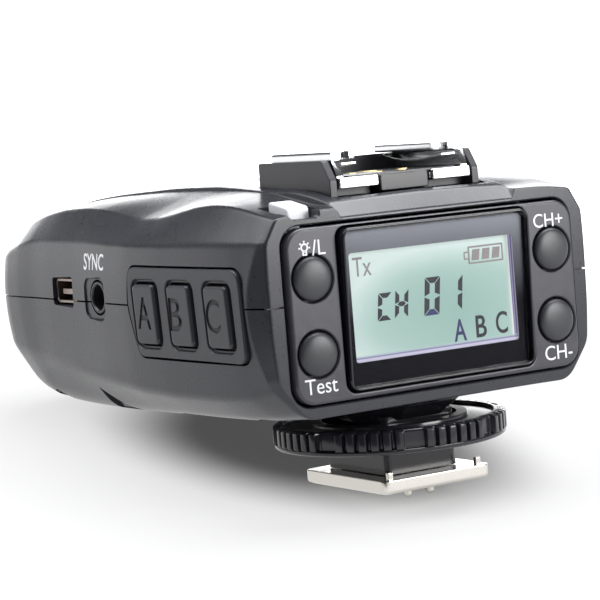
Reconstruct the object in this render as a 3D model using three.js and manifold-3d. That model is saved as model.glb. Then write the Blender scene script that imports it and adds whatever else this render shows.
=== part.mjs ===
// Wireless flash trigger: a camera-top radio transmitter with an LCD, a hot shoe on top and a
// locking shoe foot below.  Millimetres, +Z up.  Origin: centre of the foot plate's underside.
// The LCD faces -Y, the key pad and the sockets are on the -X side.
import * as THREE from 'three';
import { mergeVertices } from 'three/addons/utils/BufferGeometryUtils.js';
import Module from 'manifold-3d';

const wasm = await Module();
wasm.setup();

// ---------------------------------------------------------------- driving dimensions
const GAP = 0.3;                 // assembly clearance between neighbouring parts
const WALL = 1.9;                // case wall
const FRONT_Y = -14.24;          // plane of the front frame
const REAR_Y = 77.0;             // rear end of the case
const REAR_START = 58.0;         // where the rear rounding begins
const PARTING_Z = 28.6;          // split between top and bottom case

// half sections of the case, one row per station along Y
const T_SIDE = [[-14.24, 27.95], [-10, 28.5], [-6, 29.05], [0.6, 29.7], [8, 30.2], [14, 30.5], [20.6, 30.65], [26.9, 30.35], [40.3, 29.45], [50.2, 28.95], [58.2, 28.6], [77, 28.6]];
const T_UP_Z = [[-14.24, 37.3], [-6.7, 37.4], [0, 37.45], [12, 37.4], [24.4, 37.5], [37.6, 37.75], [48, 37.75], [57, 37.5], [62.5, 36.6], [68, 35.4], [77, 33.5]];
const T_LOW_Z = [[-14.24, 17.9], [-10, 16.9], [-7.3, 16.35], [1, 15.85], [10, 15.75], [19, 15.95], [28.4, 16.45], [38.2, 17.15], [48.5, 18.3], [55.6, 19.0], [62.2, 19.65], [77, 21.0]];
const T_BOT_X = [[-14.24, 22.8], [-8, 23.6], [0, 24.0], [60, 24.0], [77, 23.0]];
const T_BOT_Z = [[-14.24, 12.7], [-8, 12.15], [-0.8, 11.75], [13.6, 11.45], [26, 11.35], [39, 11.2], [46.5, 11.3], [53, 11.5], [60, 12.05], [67, 13.2], [77, 15.0]];
const T_KEEL_Z = [[-14.24, 12.7], [18, 12.5], [23, 10.7], [30, 10.3], [50, 9.8], [62, 9.45], [68, 9.25], [77, 9.2]];
const T_WAVE = [[-14.24, 25.2, 40.55], [-12, 25.5, 41.0], [-9, 25.6, 41.55], [-6, 25.6, 42.05], [-2, 25.6, 42.5], [2, 25.6, 42.65], [6, 25.7, 42.45], [10, 25.9, 41.95], [14, 26.1, 41.35], [18, 26.2, 40.9], [22, 26.1, 40.8], [26, 25.8, 41.05], [30, 25.6, 41.45], [34, 25.4, 41.9], [38, 25.3, 42.25], [43, 25.2, 42.42], [49, 25.1, 42.25], [55, 25.0, 41.7], [61, 24.9, 40.6], [67, 24.8, 38.9], [77, 24.0, 36.5]];
const T_OUT_Z = [[-14.24, 41.3], [-12, 41.35], [-9, 41.5], [-5, 42.1], [0, 42.9], [5, 43.55], [10, 43.85], [15, 44.05], [20, 44.15], [30, 44.1], [40, 43.8], [50, 43.4], [60, 42.6], [68, 41.3], [77, 39.0]];
const T_PAD_Z = [[-14.24, 39.9], [-12.2, 41.9], [-9.8, 42.5], [-6, 43.2], [-2, 43.65], [5, 43.8], [10, 44.1], [15, 44.4], [20, 44.6], [30, 44.55], [40, 44.2], [50, 43.75], [60, 42.95], [68, 41.7], [77, 39.5]];

const PANEL = { hw: 24.4, z0: 14.8, z1: 39.05, r: 3.0, front: -15.1, t: 1.9 };
const BEZEL = { hw: 16.0, z0: 15.9, z1: 38.5, r: 1.6, front: -15.85, t: 2.7 };
const GLASS = { hw: 15.3, z0: 16.35, z1: 37.9, t: 0.9 };
const LEAN = 1.72 * Math.PI / 180;              // lean of the LCD window
const BUTTON_R = 3.05, BUTTON_HOLE_R = 3.35;
const BUTTONS = { button_backlight: [-20.5, 32.1], button_test: [-20.5, 21.7], button_channel_up: [20.5, 32.1], button_channel_down: [20.5, 21.7] };

const KEYPAD = { x: -29.95, y: 6.3, yaw: 3.2 * Math.PI / 180 };   // outer face centre and yaw of the side key pad
const KEY_W = 6.0, KEY_Z0 = 23.0, KEY_Z1 = 31.8, KEY_SKEW = 0.065, KEY_FACE = -0.3;   // keys lean towards +Y at the top
const KEYS = { key_a: 9.0, key_b: -0.43, key_c: -10.13 };            // key centres along the key pad

const JACK = { y: 32.1, z: 29.3, r: 1.9 };
const USB = { y: 44.9, z: 29.9, w: 6.6, h: 3.7 };

const SHOE = { outer: 12.8, t: 1.2, y0: -9.3, y1: 9.9, floor: 42.4, top: 47.65, base: 45.3, lipTop: 48.8, gap: 6.7 };
const PLATE = { hw: 9.3, y0: -11.62, y1: 9.69, t: 2.0 };
const STEM = { hw: 6.25, y0: -7.85, y1: 7.83, r: 9.6 };
const WHEEL = { r: 17.15, z0: 6.0, z1: 9.5, bore: 9.95 };
const PIN_SPOTS = { foot_contact_main: [0, 0, 1.0, -1.3], foot_contact_1: [-1.95, -6.4, 0.7, -1.8], foot_contact_2: [1.95, -6.4, 0.7, -1.8], foot_contact_3: [-4.1, -3.1, 0.7, -1.5], foot_contact_4: [4.1, -3.1, 0.7, -1.5] };
const LOCK_PIN = [7.9, 3.0, 0.65];
const CELL = { r: 7.1, len: 49.3, y0: 20.6, x: 7.6, z: 20.7 };
const BAY = { hw: 16.4, y0: 19.4, y1: 72.6, z1: 29.3, wall: 1.2 };
const SCREWS = [[-21.5, -4.5], [21.5, -4.5], [-21.8, 60], [21.8, 60]];

// ---------------------------------------------------------------- geometry helpers
const V2 = (x, y) => new THREE.Vector2(x, y);
function at(table, y, col = 1) {
  if (y <= table[0][0]) return table[0][col];
  for (let i = 1; i < table.length; i++) {
    if (y <= table[i][0]) {
      const k = (y - table[i - 1][0]) / (table[i][0] - table[i - 1][0]);
      return table[i - 1][col] * (1 - k) + table[i][col] * k;
    }
  }
  return table[table.length - 1][col];
}
function solid(geometry) {
  const g = geometry.clone();
  if (g.attributes.normal) g.deleteAttribute('normal');
  if (g.attributes.uv) g.deleteAttribute('uv');
  const m = mergeVertices(g, 1e-4);
  const s = new wasm.Manifold(new wasm.Mesh({ numProp: 3, vertProperties: new Float32Array(m.attributes.position.array), triVerts: new Uint32Array(m.index.array) }));
  return s;
}
function geo(s) {
  const mesh = s.getMesh();
  const g = new THREE.BufferGeometry();
  const p = new Float32Array(mesh.numVert * 3);
  for (let i = 0; i < mesh.numVert; i++) for (let k = 0; k < 3; k++) p[i * 3 + k] = mesh.vertProperties[i * mesh.numProp + k];
  g.setAttribute('position', new THREE.BufferAttribute(p, 3));
  g.setIndex(new THREE.BufferAttribute(new Uint32Array(mesh.triVerts), 1));
  g.computeVertexNormals();
  return g;
}
const cut = (a, ...tools) => tools.reduce((s, t) => s.subtract(t), a);
const join = (a, ...more) => more.reduce((s, t) => s.add(t), a);
const box = (x0, x1, y0, y1, z0, z1) => new THREE.BoxGeometry(x1 - x0, y1 - y0, z1 - z0).translate((x0 + x1) / 2, (y0 + y1) / 2, (z0 + z1) / 2);
const rodZ = (r, z0, z1, x = 0, y = 0, n = 20, r1 = r) => new THREE.CylinderGeometry(r1, r, z1 - z0, n).rotateX(Math.PI / 2).translate(x, y, (z0 + z1) / 2);
const rodY = (r, y0, y1, x = 0, z = 0, n = 20) => new THREE.CylinderGeometry(r, r, y1 - y0, n).translate(x, (y0 + y1) / 2, z);
const rodX = (r, x0, x1, y = 0, z = 0, n = 20) => new THREE.CylinderGeometry(r, r, x1 - x0, n).rotateZ(Math.PI / 2).translate((x0 + x1) / 2, y, z);
function roundRect(a0, a1, b0, b1, r, n = 3) {
  const pts = [];
  for (const [cx, cy, s] of [[a1 - r, b0 + r, -90], [a1 - r, b1 - r, 0], [a0 + r, b1 - r, 90], [a0 + r, b0 + r, 180]]) {
    for (let i = 0; i <= n; i++) {
      const t = (s + 90 * i / n) * Math.PI / 180;
      pts.push(V2(cx + r * Math.cos(t), cy + r * Math.sin(t)));
    }
  }
  return new THREE.Shape(pts);
}
const extrude = (shape, d) => new THREE.ExtrudeGeometry(shape, { depth: d, bevelEnabled: false, curveSegments: 6 });
// a slab whose outline lies in XZ, from y0 to y1
const slabY = (shape, y0, y1) => extrude(shape, y1 - y0).rotateX(Math.PI / 2).translate(0, y1, 0);
// a slab whose outline lies in YZ, from x0 to x1
const slabX = (shape, x0, x1) => extrude(shape, x1 - x0).applyMatrix4(new THREE.Matrix4().makeBasis(new THREE.Vector3(0, 1, 0), new THREE.Vector3(0, 0, 1), new THREE.Vector3(1, 0, 0))).translate(x0, 0, 0);
const slabZ = (shape, z0, z1) => extrude(shape, z1 - z0).translate(0, 0, z0);
// a closed skin over a row of rings of equal length
function loft(rings) {
  const n = rings[0].length, pos = [], idx = [];
  for (const r of rings) for (const p of r) pos.push(...p);
  for (let i = 0; i + 1 < rings.length; i++) {
    for (let j = 0; j < n; j++) {
      const k = (j + 1) % n, a = i * n + j, b = i * n + k, c = (i + 1) * n + j, d = (i + 1) * n + k;
      idx.push(a, b, c, b, d, c);
    }
  }
  const cap = (ring, off, flip) => {
    for (const [a, b, c] of THREE.ShapeUtils.triangulateShape(ring.map((p) => V2(p[0], p[2])), [])) flip ? idx.push(off + a, off + c, off + b) : idx.push(off + a, off + b, off + c);
  };
  cap(rings[0], 0, true);
  cap(rings[rings.length - 1], (rings.length - 1) * n, false);
  let vol = 0;
  for (let i = 0; i < idx.length; i += 3) {
    const [a, b, c] = [idx[i] * 3, idx[i + 1] * 3, idx[i + 2] * 3];
    vol += pos[a] * (pos[b + 1] * pos[c + 2] - pos[b + 2] * pos[c + 1]) - pos[a + 1] * (pos[b] * pos[c + 2] - pos[b + 2] * pos[c]) + pos[a + 2] * (pos[b] * pos[c + 1] - pos[b + 1] * pos[c]);
  }
  if (vol < 0) for (let i = 0; i < idx.length; i += 3) [idx[i + 1], idx[i + 2]] = [idx[i + 2], idx[i + 1]];
  const g = new THREE.BufferGeometry();
  g.setAttribute('position', new THREE.Float32BufferAttribute(pos, 3));
  g.setIndex(idx);
  return g;
}
const mirrorRing = (half) => [...half, ...half.slice(1, -1).reverse().map(([x, y, z]) => [-x, y, z])];

// ---------------------------------------------------------------- case skin
function rearScale(y, reach) {
  const t = Math.max(0, Math.min(0.9995, (y - REAR_START) / reach));
  return [Math.pow(1 - t ** 4, 1 / 4), Math.pow(1 - t ** 6, 1 / 6)];
}
function shellHalf(y) {
  const xs = at(T_SIDE, y), zu = at(T_UP_Z, y), zl = at(T_LOW_Z, y), xb = at(T_BOT_X, y), zb = at(T_BOT_Z, y), zk = at(T_KEEL_Z, y);
  const xw = at(T_WAVE, y), zw = at(T_WAVE, y, 2), zo = at(T_OUT_Z, y), zi = at(T_PAD_Z, y);
  return [[0, zk], [16, zk + 0.25], [xb, zb], [xs - 0.85, zl], [xs - 0.2, (zl + PARTING_Z) / 2], [xs, PARTING_Z], [xs - 0.15, (zu + PARTING_Z) / 2], [xs - 0.65, zu],
    [xw, zw], [20.5, (zw + zo) / 2 + 0.25], [15.5, zo], [14.9, zi], [8, zi + 0.25], [0, zi + 0.35]];
}
function ringAt(y) {
  const [sx, sz] = rearScale(y, REAR_Y - REAR_START);
  return mirrorRing(shellHalf(y).map(([x, z]) => [x * sx, y, 27 + (z - 27) * sz]));
}
function frontRings() {
  const side = [[0, 12.7], [16, 12.7], [22.8, 12.7], [27.0, 17.9], [27.6, 23.2], [27.95, PARTING_Z], [27.5, 33.0], [27.0, 37.3], [25.2, 40.55], [20.5, 41.25], [15.5, 41.3], [14.9, 39.9], [8, 39.9], [0, 39.9]];
  const yy = [-13.4, -13.4, -13.6, -12.9, -10.8, -10.0, -10.9, -12.6, -13.4, -13.0, -12.6, -12.2, -12.2, -12.2];
  const first = mirrorRing(side.map(([x, z]) => [x, FRONT_Y, z]));
  const second = mirrorRing(yy.map((y, i) => { const [x, z] = shellHalf(y)[i]; return [x, y, z]; }));
  return [first, second];
}
function skin() {
  const ys = [-9, -5, -1, 3, 7, 12, 17, 22, 27, 32, 38, 44, 50, 55, 60, 64.5, 68.5, 71.5, 74, 75.7, 76.6, 76.95];
  return solid(loft([...frontRings(), ...ys.map(ringAt)]));
}
function cavity() {
  const ys = [-12.2, -8, -2, 4, 10, 13, 18, 23, 30, 38, 46, 54, 60, 65, 69, 72, 73.8, 74.6];
  return solid(loft(ys.map((y) => {
    const h = shellHalf(y);
    const [sx, sz] = rearScale(y, REAR_Y - WALL - REAR_START);
    const roof = (z) => (y < 12.5 ? Math.min(z - WALL, 40.4) : z - WALL);
    const half = [[0, h[0][1] + 1.8], [15, h[1][1] + 1.8], [h[2][0] - 1.5, h[2][1] + 2.0], [h[3][0] - 2.1, h[3][1] + 0.9], [h[5][0] - 2.0, PARTING_Z], [h[7][0] - 2.1, h[7][1] - 0.9],
      [h[8][0] - 1.9, Math.min(h[8][1], h[9][1]) - WALL], [15.2, roof(Math.min(h[10][1], h[11][1]))], [0, roof(h[12][1])]];
    return mirrorRing(half.map(([x, z]) => [x * sx, y, 27 + (z - 27) * sz]));
  })));
}

const group = new THREE.Group();
const material = (color, roughness, metalness = 0, extra = {}) => new THREE.MeshStandardMaterial({ color, roughness, metalness, ...extra });
const M = {
  plastic: [0x2b2c30, 0.5], panel: [0x303236, 0.5], gloss: [0x0d0e11, 0.12], rubber: [0x35373c, 0.6], keys: [0x3a3c43, 0.55], neck: [0x08080a, 0.2],
  chrome: [0xd8dadd, 0.15, 1], nickel: [0xd6d2c6, 0.28, 1], gold: [0xd6b25e, 0.25, 1], steel: [0x8f9296, 0.35, 1], pcb: [0x1e5a38, 0.5], lcd: [0xa9c9bc, 0.3], white: [0xf0f0ee, 0.35], knob: [0xe8ebf2, 0.3],
  cell: [0x8b6a3a, 0.35, 0.3], black: [0x141416, 0.45],
};
function add(name, shape, mat, parent = group) {
  const g = shape.isBufferGeometry ? shape : geo(shape);
  if (!g.attributes.normal) g.computeVertexNormals();
  const mesh = new THREE.Mesh(g, material(...mat));
  mesh.name = name;
  parent.add(mesh);
  return mesh;
}

// ---------------------------------------------------------------- key pad frame of reference
const keypad = new THREE.Group();
keypad.position.set(KEYPAD.x, KEYPAD.y, 0);
keypad.rotation.z = KEYPAD.yaw;
keypad.updateMatrixWorld(true);
group.add(keypad);
const toPad = (g) => g.applyMatrix4(keypad.matrixWorld);
const padOutline = (o) => new THREE.Shape([[-16.0 - o, 22.8], [-15.6 - o, 21.8], [-14.5, 21.1 - o], [11.3, 21.2 - o], [12.2 + o, 22.1], [13.4 + o, 25.6], [14.2 + o, 28.6], [13.9 + o, 31.6], [13.1 + o, 33.3], [11.8, 34.2 + o], [-14.4, 34.05 + o], [-15.4 - o, 32.7], [-15.5 - o, 29.2]].map(([a, b]) => V2(a, b)));
const keyOutline = (c, o) => new THREE.Shape(roundRect(c - KEY_W / 2 - o, c + KEY_W / 2 + o, KEY_Z0 - o, KEY_Z1 + o, 0.9).getPoints(1).map((p) => V2(p.x + KEY_SKEW * (p.y - 27.4), p.y)));

// ---------------------------------------------------------------- case shells
const body = skin();
const panelOpening = solid(slabY(roundRect(-PANEL.hw - GAP, PANEL.hw + GAP, PANEL.z0 - GAP, PANEL.z1 + GAP, PANEL.r), -16, -11));
const hollow = cut(body, cavity(), panelOpening);
const keypadCut = solid(toPad(slabX(padOutline(GAP), -2.5, 4)));
const jackSeat = solid(slabX(roundRect(JACK.y - 3.1, JACK.y + 4.2, 26.1, 32.2, 1.5), -33, -29.4));
const jackBore = solid(rodX(2.75, -33, -25, JACK.y, JACK.z, 24));
const usbHole = solid(slabX(roundRect(USB.y - 3.7, USB.y + 3.7, 27.75, 32.05, 0.3, 1), -33, -24));
const shoePocket = solid(box(-13.15, 13.15, -11, 10.25, SHOE.floor, 50));
const shoeScrewWell = solid(box(-4.6, 4.6, -8.6, 8.6, 39, 43));
const notchFront = new THREE.Shape([V2(-22.4, 40.25), V2(-18.1, 40.25), V2(-18.1, 45), V2(-26, 45), V2(-23.4, 41.3)]);
const knobSlot = join(solid(slabY(notchFront, -15, -12)), solid(box(-23.5, -16.4, -12.3, -6.8, 38.2, 44.5)));
const posts = SCREWS.map(([x, y]) => solid(rodZ(2.7, PARTING_Z + 0.3, 41.6, x, y, 16)).intersect(body));
const pilots = SCREWS.map(([x, y]) => solid(rodZ(1.3, PARTING_Z, 37.5, x, y, 12)));
const upper = solid(box(-40, 40, -20, 80, PARTING_Z + GAP / 2, 60));
const lower = solid(box(-40, 40, -20, 80, 0, PARTING_Z - GAP / 2));
let top = hollow.intersect(upper);
for (const p of posts) top = top.add(p);
top = cut(top, ...pilots, keypadCut, jackSeat, jackBore, usbHole, shoePocket, shoeScrewWell, knobSlot, cavityFront());
add('top_case', top, M.plastic);

function cavityFront() { return solid(box(-24.6, 24.6, -12.4, -11, 14.6, 39.3)); }

const stemHole = solid(box(-5.3, 5.3, -6.3, 6.3, 8, 18));
const doorCut = solid(box(-17.5, 17.5, BAY.y0 - 0.5, 80, 0, 12.3));
const bayBox = solid(box(-BAY.hw - BAY.wall, BAY.hw + BAY.wall, BAY.y0 - BAY.wall, BAY.y1 + BAY.wall, 11.2, BAY.z1 + BAY.wall)).intersect(join(cavity(), solid(box(-20, 20, 17, 75, 11, 14)).intersect(body)));
const bayHollow = solid(box(-BAY.hw, BAY.hw, BAY.y0, BAY.y1, 8, BAY.z1));
let bottom = hollow.intersect(lower);
bottom = cut(bottom, keypadCut, jackSeat, jackBore, usbHole);
bottom = join(bottom, bayBox, ...SCREWS.map(([x, y]) => solid(rodZ(3.1, 11.5, PARTING_Z - 0.3, x, y, 16)).intersect(body)));
bottom = cut(bottom, bayHollow, doorCut, stemHole, cavityFront(), ...SCREWS.map(([x, y]) => solid(rodZ(1.3, 8, 30, x, y, 12))), ...SCREWS.map(([x, y]) => solid(rodZ(2.5, 8, 20, x, y, 16))));
// triangular recess low on each flank
const flankNotch = (side) => {
  const along = new THREE.Vector3(0, 1, 0), up = new THREE.Vector3(side * 0.608, 0, 0.794), out = along.clone().cross(up);
  const tri = new THREE.Shape([V2(32.2, -0.6), V2(39.9, -0.6), V2(39.9, 4.7)]);
  const g = side > 0 ? extrude(tri, 4).translate(0, 0, -0.9) : extrude(tri, 4).translate(0, 0, -3.1);
  return solid(g.applyMatrix4(new THREE.Matrix4().makeBasis(along, up, out)).translate(side * 24.0, 0, 11.25));
};
bottom = cut(bottom, flankNotch(-1), flankNotch(1));
add('bottom_case', bottom, M.plastic);

// battery door: the underside skin behind the foot, sliding to the rear
let door = body.intersect(solid(box(-17.2, 17.2, BAY.y0 - 0.2, 80, 0, 12.0)));
for (let i = 0; i < 5; i++) door = cut(door, solid(box(-9, 9, 56 + i * 2.2, 57 + i * 2.2, 0, 9.95 - i * 0.06)));
add('battery_door', door, M.plastic);

// ---------------------------------------------------------------- front panel, LCD and buttons
const bezelHole = solid(slabY(roundRect(-BEZEL.hw - GAP, BEZEL.hw + GAP, BEZEL.z0 - GAP, BEZEL.z1 + 0.25, BEZEL.r), -17, -11));
let panel = solid(slabY(roundRect(-PANEL.hw, PANEL.hw, PANEL.z0, PANEL.z1, PANEL.r), PANEL.front, PANEL.front + PANEL.t));
panel = cut(panel, bezelHole, ...Object.values(BUTTONS).map(([x, z]) => solid(rodY(BUTTON_HOLE_R, -17, -11, x, z, 28))));
add('front_panel', panel, M.panel);

const lcd = new THREE.Group();
const LCD_Z = (BEZEL.z0 + BEZEL.z1) / 2;
lcd.position.set(0, BEZEL.front, LCD_Z);
lcd.rotation.x = LEAN;
group.add(lcd);
let bezel = solid(slabY(roundRect(-BEZEL.hw, BEZEL.hw, BEZEL.z0 - LCD_Z, BEZEL.z1 - LCD_Z, BEZEL.r), -0.15, BEZEL.t - 0.35));
bezel = cut(bezel, solid(slabY(roundRect(-GLASS.hw - 0.15, GLASS.hw + 0.15, GLASS.z0 - 0.15 - LCD_Z, GLASS.z1 + 0.15 - LCD_Z, 1.0), -2, GLASS.t + 0.1)), solid(box(-14.5, 14.5, -2, 5, 17.2 - LCD_Z, 37.0 - LCD_Z)));
add('lcd_bezel', bezel, M.gloss, lcd);
add('lcd_window', slabY(roundRect(-GLASS.hw, GLASS.hw, GLASS.z0 - LCD_Z, GLASS.z1 - LCD_Z, 0.9), 0, GLASS.t), [0x0a0b0d, 0.05], lcd);
add('lcd_module', box(-14.2, 14.2, -14.25, -12.5, 17.8, 36.6), M.lcd);
add('lcd_backlight', box(-14.2, 14.2, -12.4, -10.6, 17.8, 36.6), M.white);

for (const [name, [x, z]] of Object.entries(BUTTONS)) {
  const profile = [[0, -0.75], [1.6, -0.66], [2.5, -0.42], [BUTTON_R, 0.0], [BUTTON_R, 2.3], [3.9, 2.3], [3.9, 2.9], [1.2, 2.9], [1.2, 3.35], [0, 3.35]];
  const b = add(name, new THREE.LatheGeometry(profile.map(([r, y]) => V2(r, y)), 18), M.rubber);
  b.position.set(x, PANEL.front, z);
}
add('ui_pcb', cut(solid(box(-23.2, 23.2, -9.3, -8.1, 16.3, 38.2)), solid(box(-25.5, -15.2, -12.6, -7, 36.2, 40))), M.pcb);
for (const [name, [x, z]] of Object.entries(BUTTONS)) {
  add(name.replace('button', 'switch'), join(solid(box(x - 2.2, x + 2.2, -10.7, -9.35, z - 2.2, z + 2.2)), solid(rodY(0.9, -11.1, -10.5, x, z, 12))), M.steel);
}

// ---------------------------------------------------------------- side key pad
let frame = solid(slabX(padOutline(0), 0.1, 1.7));
for (const c of Object.values(KEYS)) frame = cut(frame, solid(slabX(keyOutline(c, GAP), -3, 5)), solid(slabX(keyOutline(c, 0.6), -3, 0.6)));
add('keypad_frame', frame, M.keys, keypad);
for (const [name, c] of Object.entries(KEYS)) {
  const cap = solid(slabX(keyOutline(c, -0.05), KEY_FACE, 2.3));
  const flange = solid(slabX(keyOutline(c, 0.6), 2.0, 2.5));
  add(name, join(cap, flange), M.keys, keypad);
}
add('key_pcb', cut(solid(box(3.6, 4.6, -13.6, 13.0, 22.6, 32.6)), solid(box(3, 6, -20, -13, 20, 24))), M.pcb, keypad);

// ---------------------------------------------------------------- sockets
const jackBody = cut(join(solid(rodX(2.45, -29.5, -26.9, JACK.y, JACK.z, 24)), solid(box(-27.2, -18.5, JACK.y - 2.9, JACK.y + 2.9, 26.0, 32.1))), solid(rodX(JACK.r, -30, -20, JACK.y, JACK.z, 20)));
add('sync_jack', jackBody, M.black);
const usbShell = cut(solid(box(-29.3, -21.5, USB.y - 3.3, USB.y + 3.3, 28.1, 31.8)), solid(box(-31, -22.1, USB.y - 2.9, USB.y + 2.9, 28.5, 31.4)));
add('usb_socket', join(usbShell, solid(box(-28.0, -21.9, USB.y - 2.0, USB.y + 2.0, 29.4, 30.2))), M.steel);

// ---------------------------------------------------------------- power switch
const knobSide = new THREE.Shape([V2(-12.0, 39.3), V2(-7.1, 39.3), V2(-7.1, 42.6), V2(-7.3, 42.8), V2(-11.7, 41.95), V2(-12.0, 41.7)]);
const knob = join(solid(slabX(knobSide, -21.9, -18.3)), solid(box(-21.0, -19.2, -10.6, -9.2, 38.0, 39.5)));
add('power_knob', knob, M.knob);
add('power_switch', cut(solid(box(-23.2, -16.7, -12.0, -7.6, 36.5, 38.6)), solid(box(-21.4, -17.2, -10.9, -8.9, 37.6, 40))), M.steel);

// ---------------------------------------------------------------- hot shoe on top
const sidePlate = new THREE.Shape([V2(SHOE.y0 + 0.1, SHOE.floor + 0.1), V2(SHOE.y1, SHOE.floor + 0.1), V2(SHOE.y1, SHOE.top), V2(-7.35, SHOE.top), V2(SHOE.y0 + 0.1, 44.85)]);
let bracket = join(solid(slabX(sidePlate, -SHOE.outer, -SHOE.outer + SHOE.t)), solid(slabX(sidePlate, SHOE.outer - SHOE.t, SHOE.outer)),
  solid(box(-SHOE.outer, SHOE.outer, 8.75, SHOE.y1, SHOE.floor + 0.1, 47.5)), solid(box(-SHOE.outer, SHOE.outer, -6.9, SHOE.y1, SHOE.floor + 0.1, 43.5)));
bracket = cut(bracket, solid(box(-4.7, 4.7, -10, 8.4, 42, 44)));
add('shoe_bracket', bracket, M.black);
const railOuter = 11.3, railInner = 10.1;
const railProfile = new THREE.Shape([[-railOuter, 43.8], [-railInner, 43.8], [-railInner, 47.7], [-SHOE.gap, 47.7], [-SHOE.gap, 48.8], [-railOuter + 0.9, 48.8], [-railOuter + 0.27, 48.53], [-railOuter, 47.9]].map(([a, b]) => V2(a, b)));
const railRight = new THREE.Shape(railProfile.getPoints(1).map((p) => V2(-p.x, p.y)).reverse());
let rail = join(solid(slabY(railProfile, -8.7, 8.5)), solid(slabY(railRight, -8.7, 8.5)), solid(box(-railOuter, railOuter, -8.7, 8.5, 43.8, 44.6)));
const tab = new THREE.Shape([V2(4.6, 43.62), V2(9.9, 43.62), V2(9.9, 45.2), V2(4.6, 45.2)]);
rail = join(rail, solid(box(4.6, railOuter, -9.35, -8.5, 43.6, 45.1)), solid(box(-railOuter, -4.6, -9.35, -8.5, 43.6, 45.1)));
const lead = (s) => solid(slabZ(new THREE.Shape((s > 0 ? [V2(5, -10), V2(8.6, -10), V2(6.6, -6.4), V2(5, -6.4)] : [V2(-5, -10), V2(-5, -6.4), V2(-6.6, -6.4), V2(-8.6, -10)])), 46.5, 50));
rail = cut(rail, lead(1), lead(-1), solid(box(-4.45, 4.45, -10, 7.2, 43, 46)));
add('shoe_rail', rail, M.chrome);
add('shoe_insert', join(solid(box(-4.2, 4.2, -8.9, 6.9, 42.7, 45.0)), solid(box(-9.4, 9.4, -8.4, 6.9, 44.8, 45.3))), M.black);
for (const [name, x, y, r] of [['shoe_contact_main', 0, 0, 1.6], ['shoe_contact_1', -2.1, -5.4, 0.9], ['shoe_contact_2', 2.1, -5.4, 0.9], ['shoe_contact_3', -4.4, -2.2, 0.9], ['shoe_contact_4', 4.4, -2.2, 0.9]]) {
  add(name, rodZ(r, 45.32, 45.42, x, y, 16), M.gold);
}
for (const [name, s] of [['shoe_spring_left', -1], ['shoe_spring_right', 1]]) {
  const pts = [[-7.9, 46.9], [-5, 46.55], [0, 46.2], [4, 46.5], [7.6, 47.2]];
  const outline = new THREE.Shape([...pts.map(([a, b]) => V2(a, b)), ...pts.slice().reverse().map(([a, b]) => V2(a, b + 0.28))]);
  add(name, s < 0 ? slabX(outline, -9.8, -7.4) : slabX(outline, 7.4, 9.8), M.steel);
}

// ---------------------------------------------------------------- locking foot
let stem = solid(box(-STEM.hw, STEM.hw, STEM.y0, STEM.y1, PLATE.t + 0.1, 10.4)).intersect(solid(rodZ(STEM.r, 0, 12, 0, 0, 40)));
const boss = solid(new THREE.CylinderGeometry(10.9 / Math.cos(Math.PI / 8), 8.2 / Math.cos(Math.PI / 8), 2.2, 8, 1).rotateX(Math.PI / 2).rotateZ(Math.PI / 8).translate(0, 0, 10.95));
stem = join(stem, boss, solid(box(-5.0, 5.0, -6.0, 6.0, 10, 17.2)));
stem = cut(stem, ...Object.values(PIN_SPOTS).map(([x, y, r]) => solid(rodZ(r + 0.25, 0, 9.2, x, y, 14))));
add('foot_stem', stem, M.neck);
let plate = solid(slabZ(roundRect(-PLATE.hw, PLATE.hw, PLATE.y0, PLATE.y1, 1.1), 0, PLATE.t));
plate = join(plate, solid(box(-8.1, -7.2, -10.95, -10.3, 1.5, 3.05)), solid(box(7.2, 8.1, -10.95, -10.3, 1.5, 3.05)));
plate = cut(plate, ...Object.values(PIN_SPOTS).map(([x, y, r]) => solid(rodZ(r + 0.25, -1, 4, x, y, 14))), solid(rodZ(LOCK_PIN[2] + 0.25, -1, 4, LOCK_PIN[0], LOCK_PIN[1], 14)));
add('foot_plate', plate, M.nickel);
for (const [name, [x, y, r, tip]] of Object.entries(PIN_SPOTS)) {
  const c = add(name, new THREE.LatheGeometry([[0, 0], [r * 0.6, 0.12], [r, 0.5], [r, 6.4], [0, 6.4]].map(([a, b]) => V2(a, b)), 14).rotateX(Math.PI / 2), M.gold);
  c.position.set(x, y, tip);
}

// lock wheel: ridges in eight groups around the rim
const rim = [];
for (let g = 0; g < 8; g++) {
  const c = g * 45 + 1;
  const deg = (d) => (c + d) * Math.PI / 180;
  const put = (d, r) => rim.push(V2(r * Math.cos(deg(d)), r * Math.sin(deg(d))));
  for (let i = 0; i < 6; i++) {
    const d = -15 + i * 6;
    put(d - 2.6, WHEEL.r - 0.75); put(d - 1.3, WHEEL.r); put(d + 1.3, WHEEL.r); put(d + 2.6, WHEEL.r - 0.75);
  }
  put(19.5, WHEEL.r - 0.85); put(25.5, WHEEL.r - 0.85);
}
let wheel = solid(slabZ(new THREE.Shape(rim), WHEEL.z0, WHEEL.z1));
wheel = cut(wheel, solid(rodZ(WHEEL.bore, 5, 11, 0, 0, 40)), cut(solid(rodZ(15.4, WHEEL.z1 - 0.5, 11, 0, 0, 40)), solid(rodZ(11.6, 5, 12, 0, 0, 40))));
add('lock_wheel', wheel, M.black);
add('pressure_washer', cut(solid(rodZ(11.0, 5.5, 5.9, 0, 0, 32)), solid(box(-STEM.hw - 0.3, STEM.hw + 0.3, STEM.y0 - 0.3, STEM.y1 + 0.3, 4, 7)).intersect(solid(rodZ(9.95, 4, 7, 0, 0, 40)))), M.steel);
const lp = add('lock_pin', new THREE.LatheGeometry([[0, 0], [0.4, 0.1], [LOCK_PIN[2], 0.4], [LOCK_PIN[2], 4.88], [0, 4.88]].map(([a, b]) => V2(a, b)), 12).rotateX(Math.PI / 2), M.steel);
lp.position.set(LOCK_PIN[0], LOCK_PIN[1], 0.6);

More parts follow.
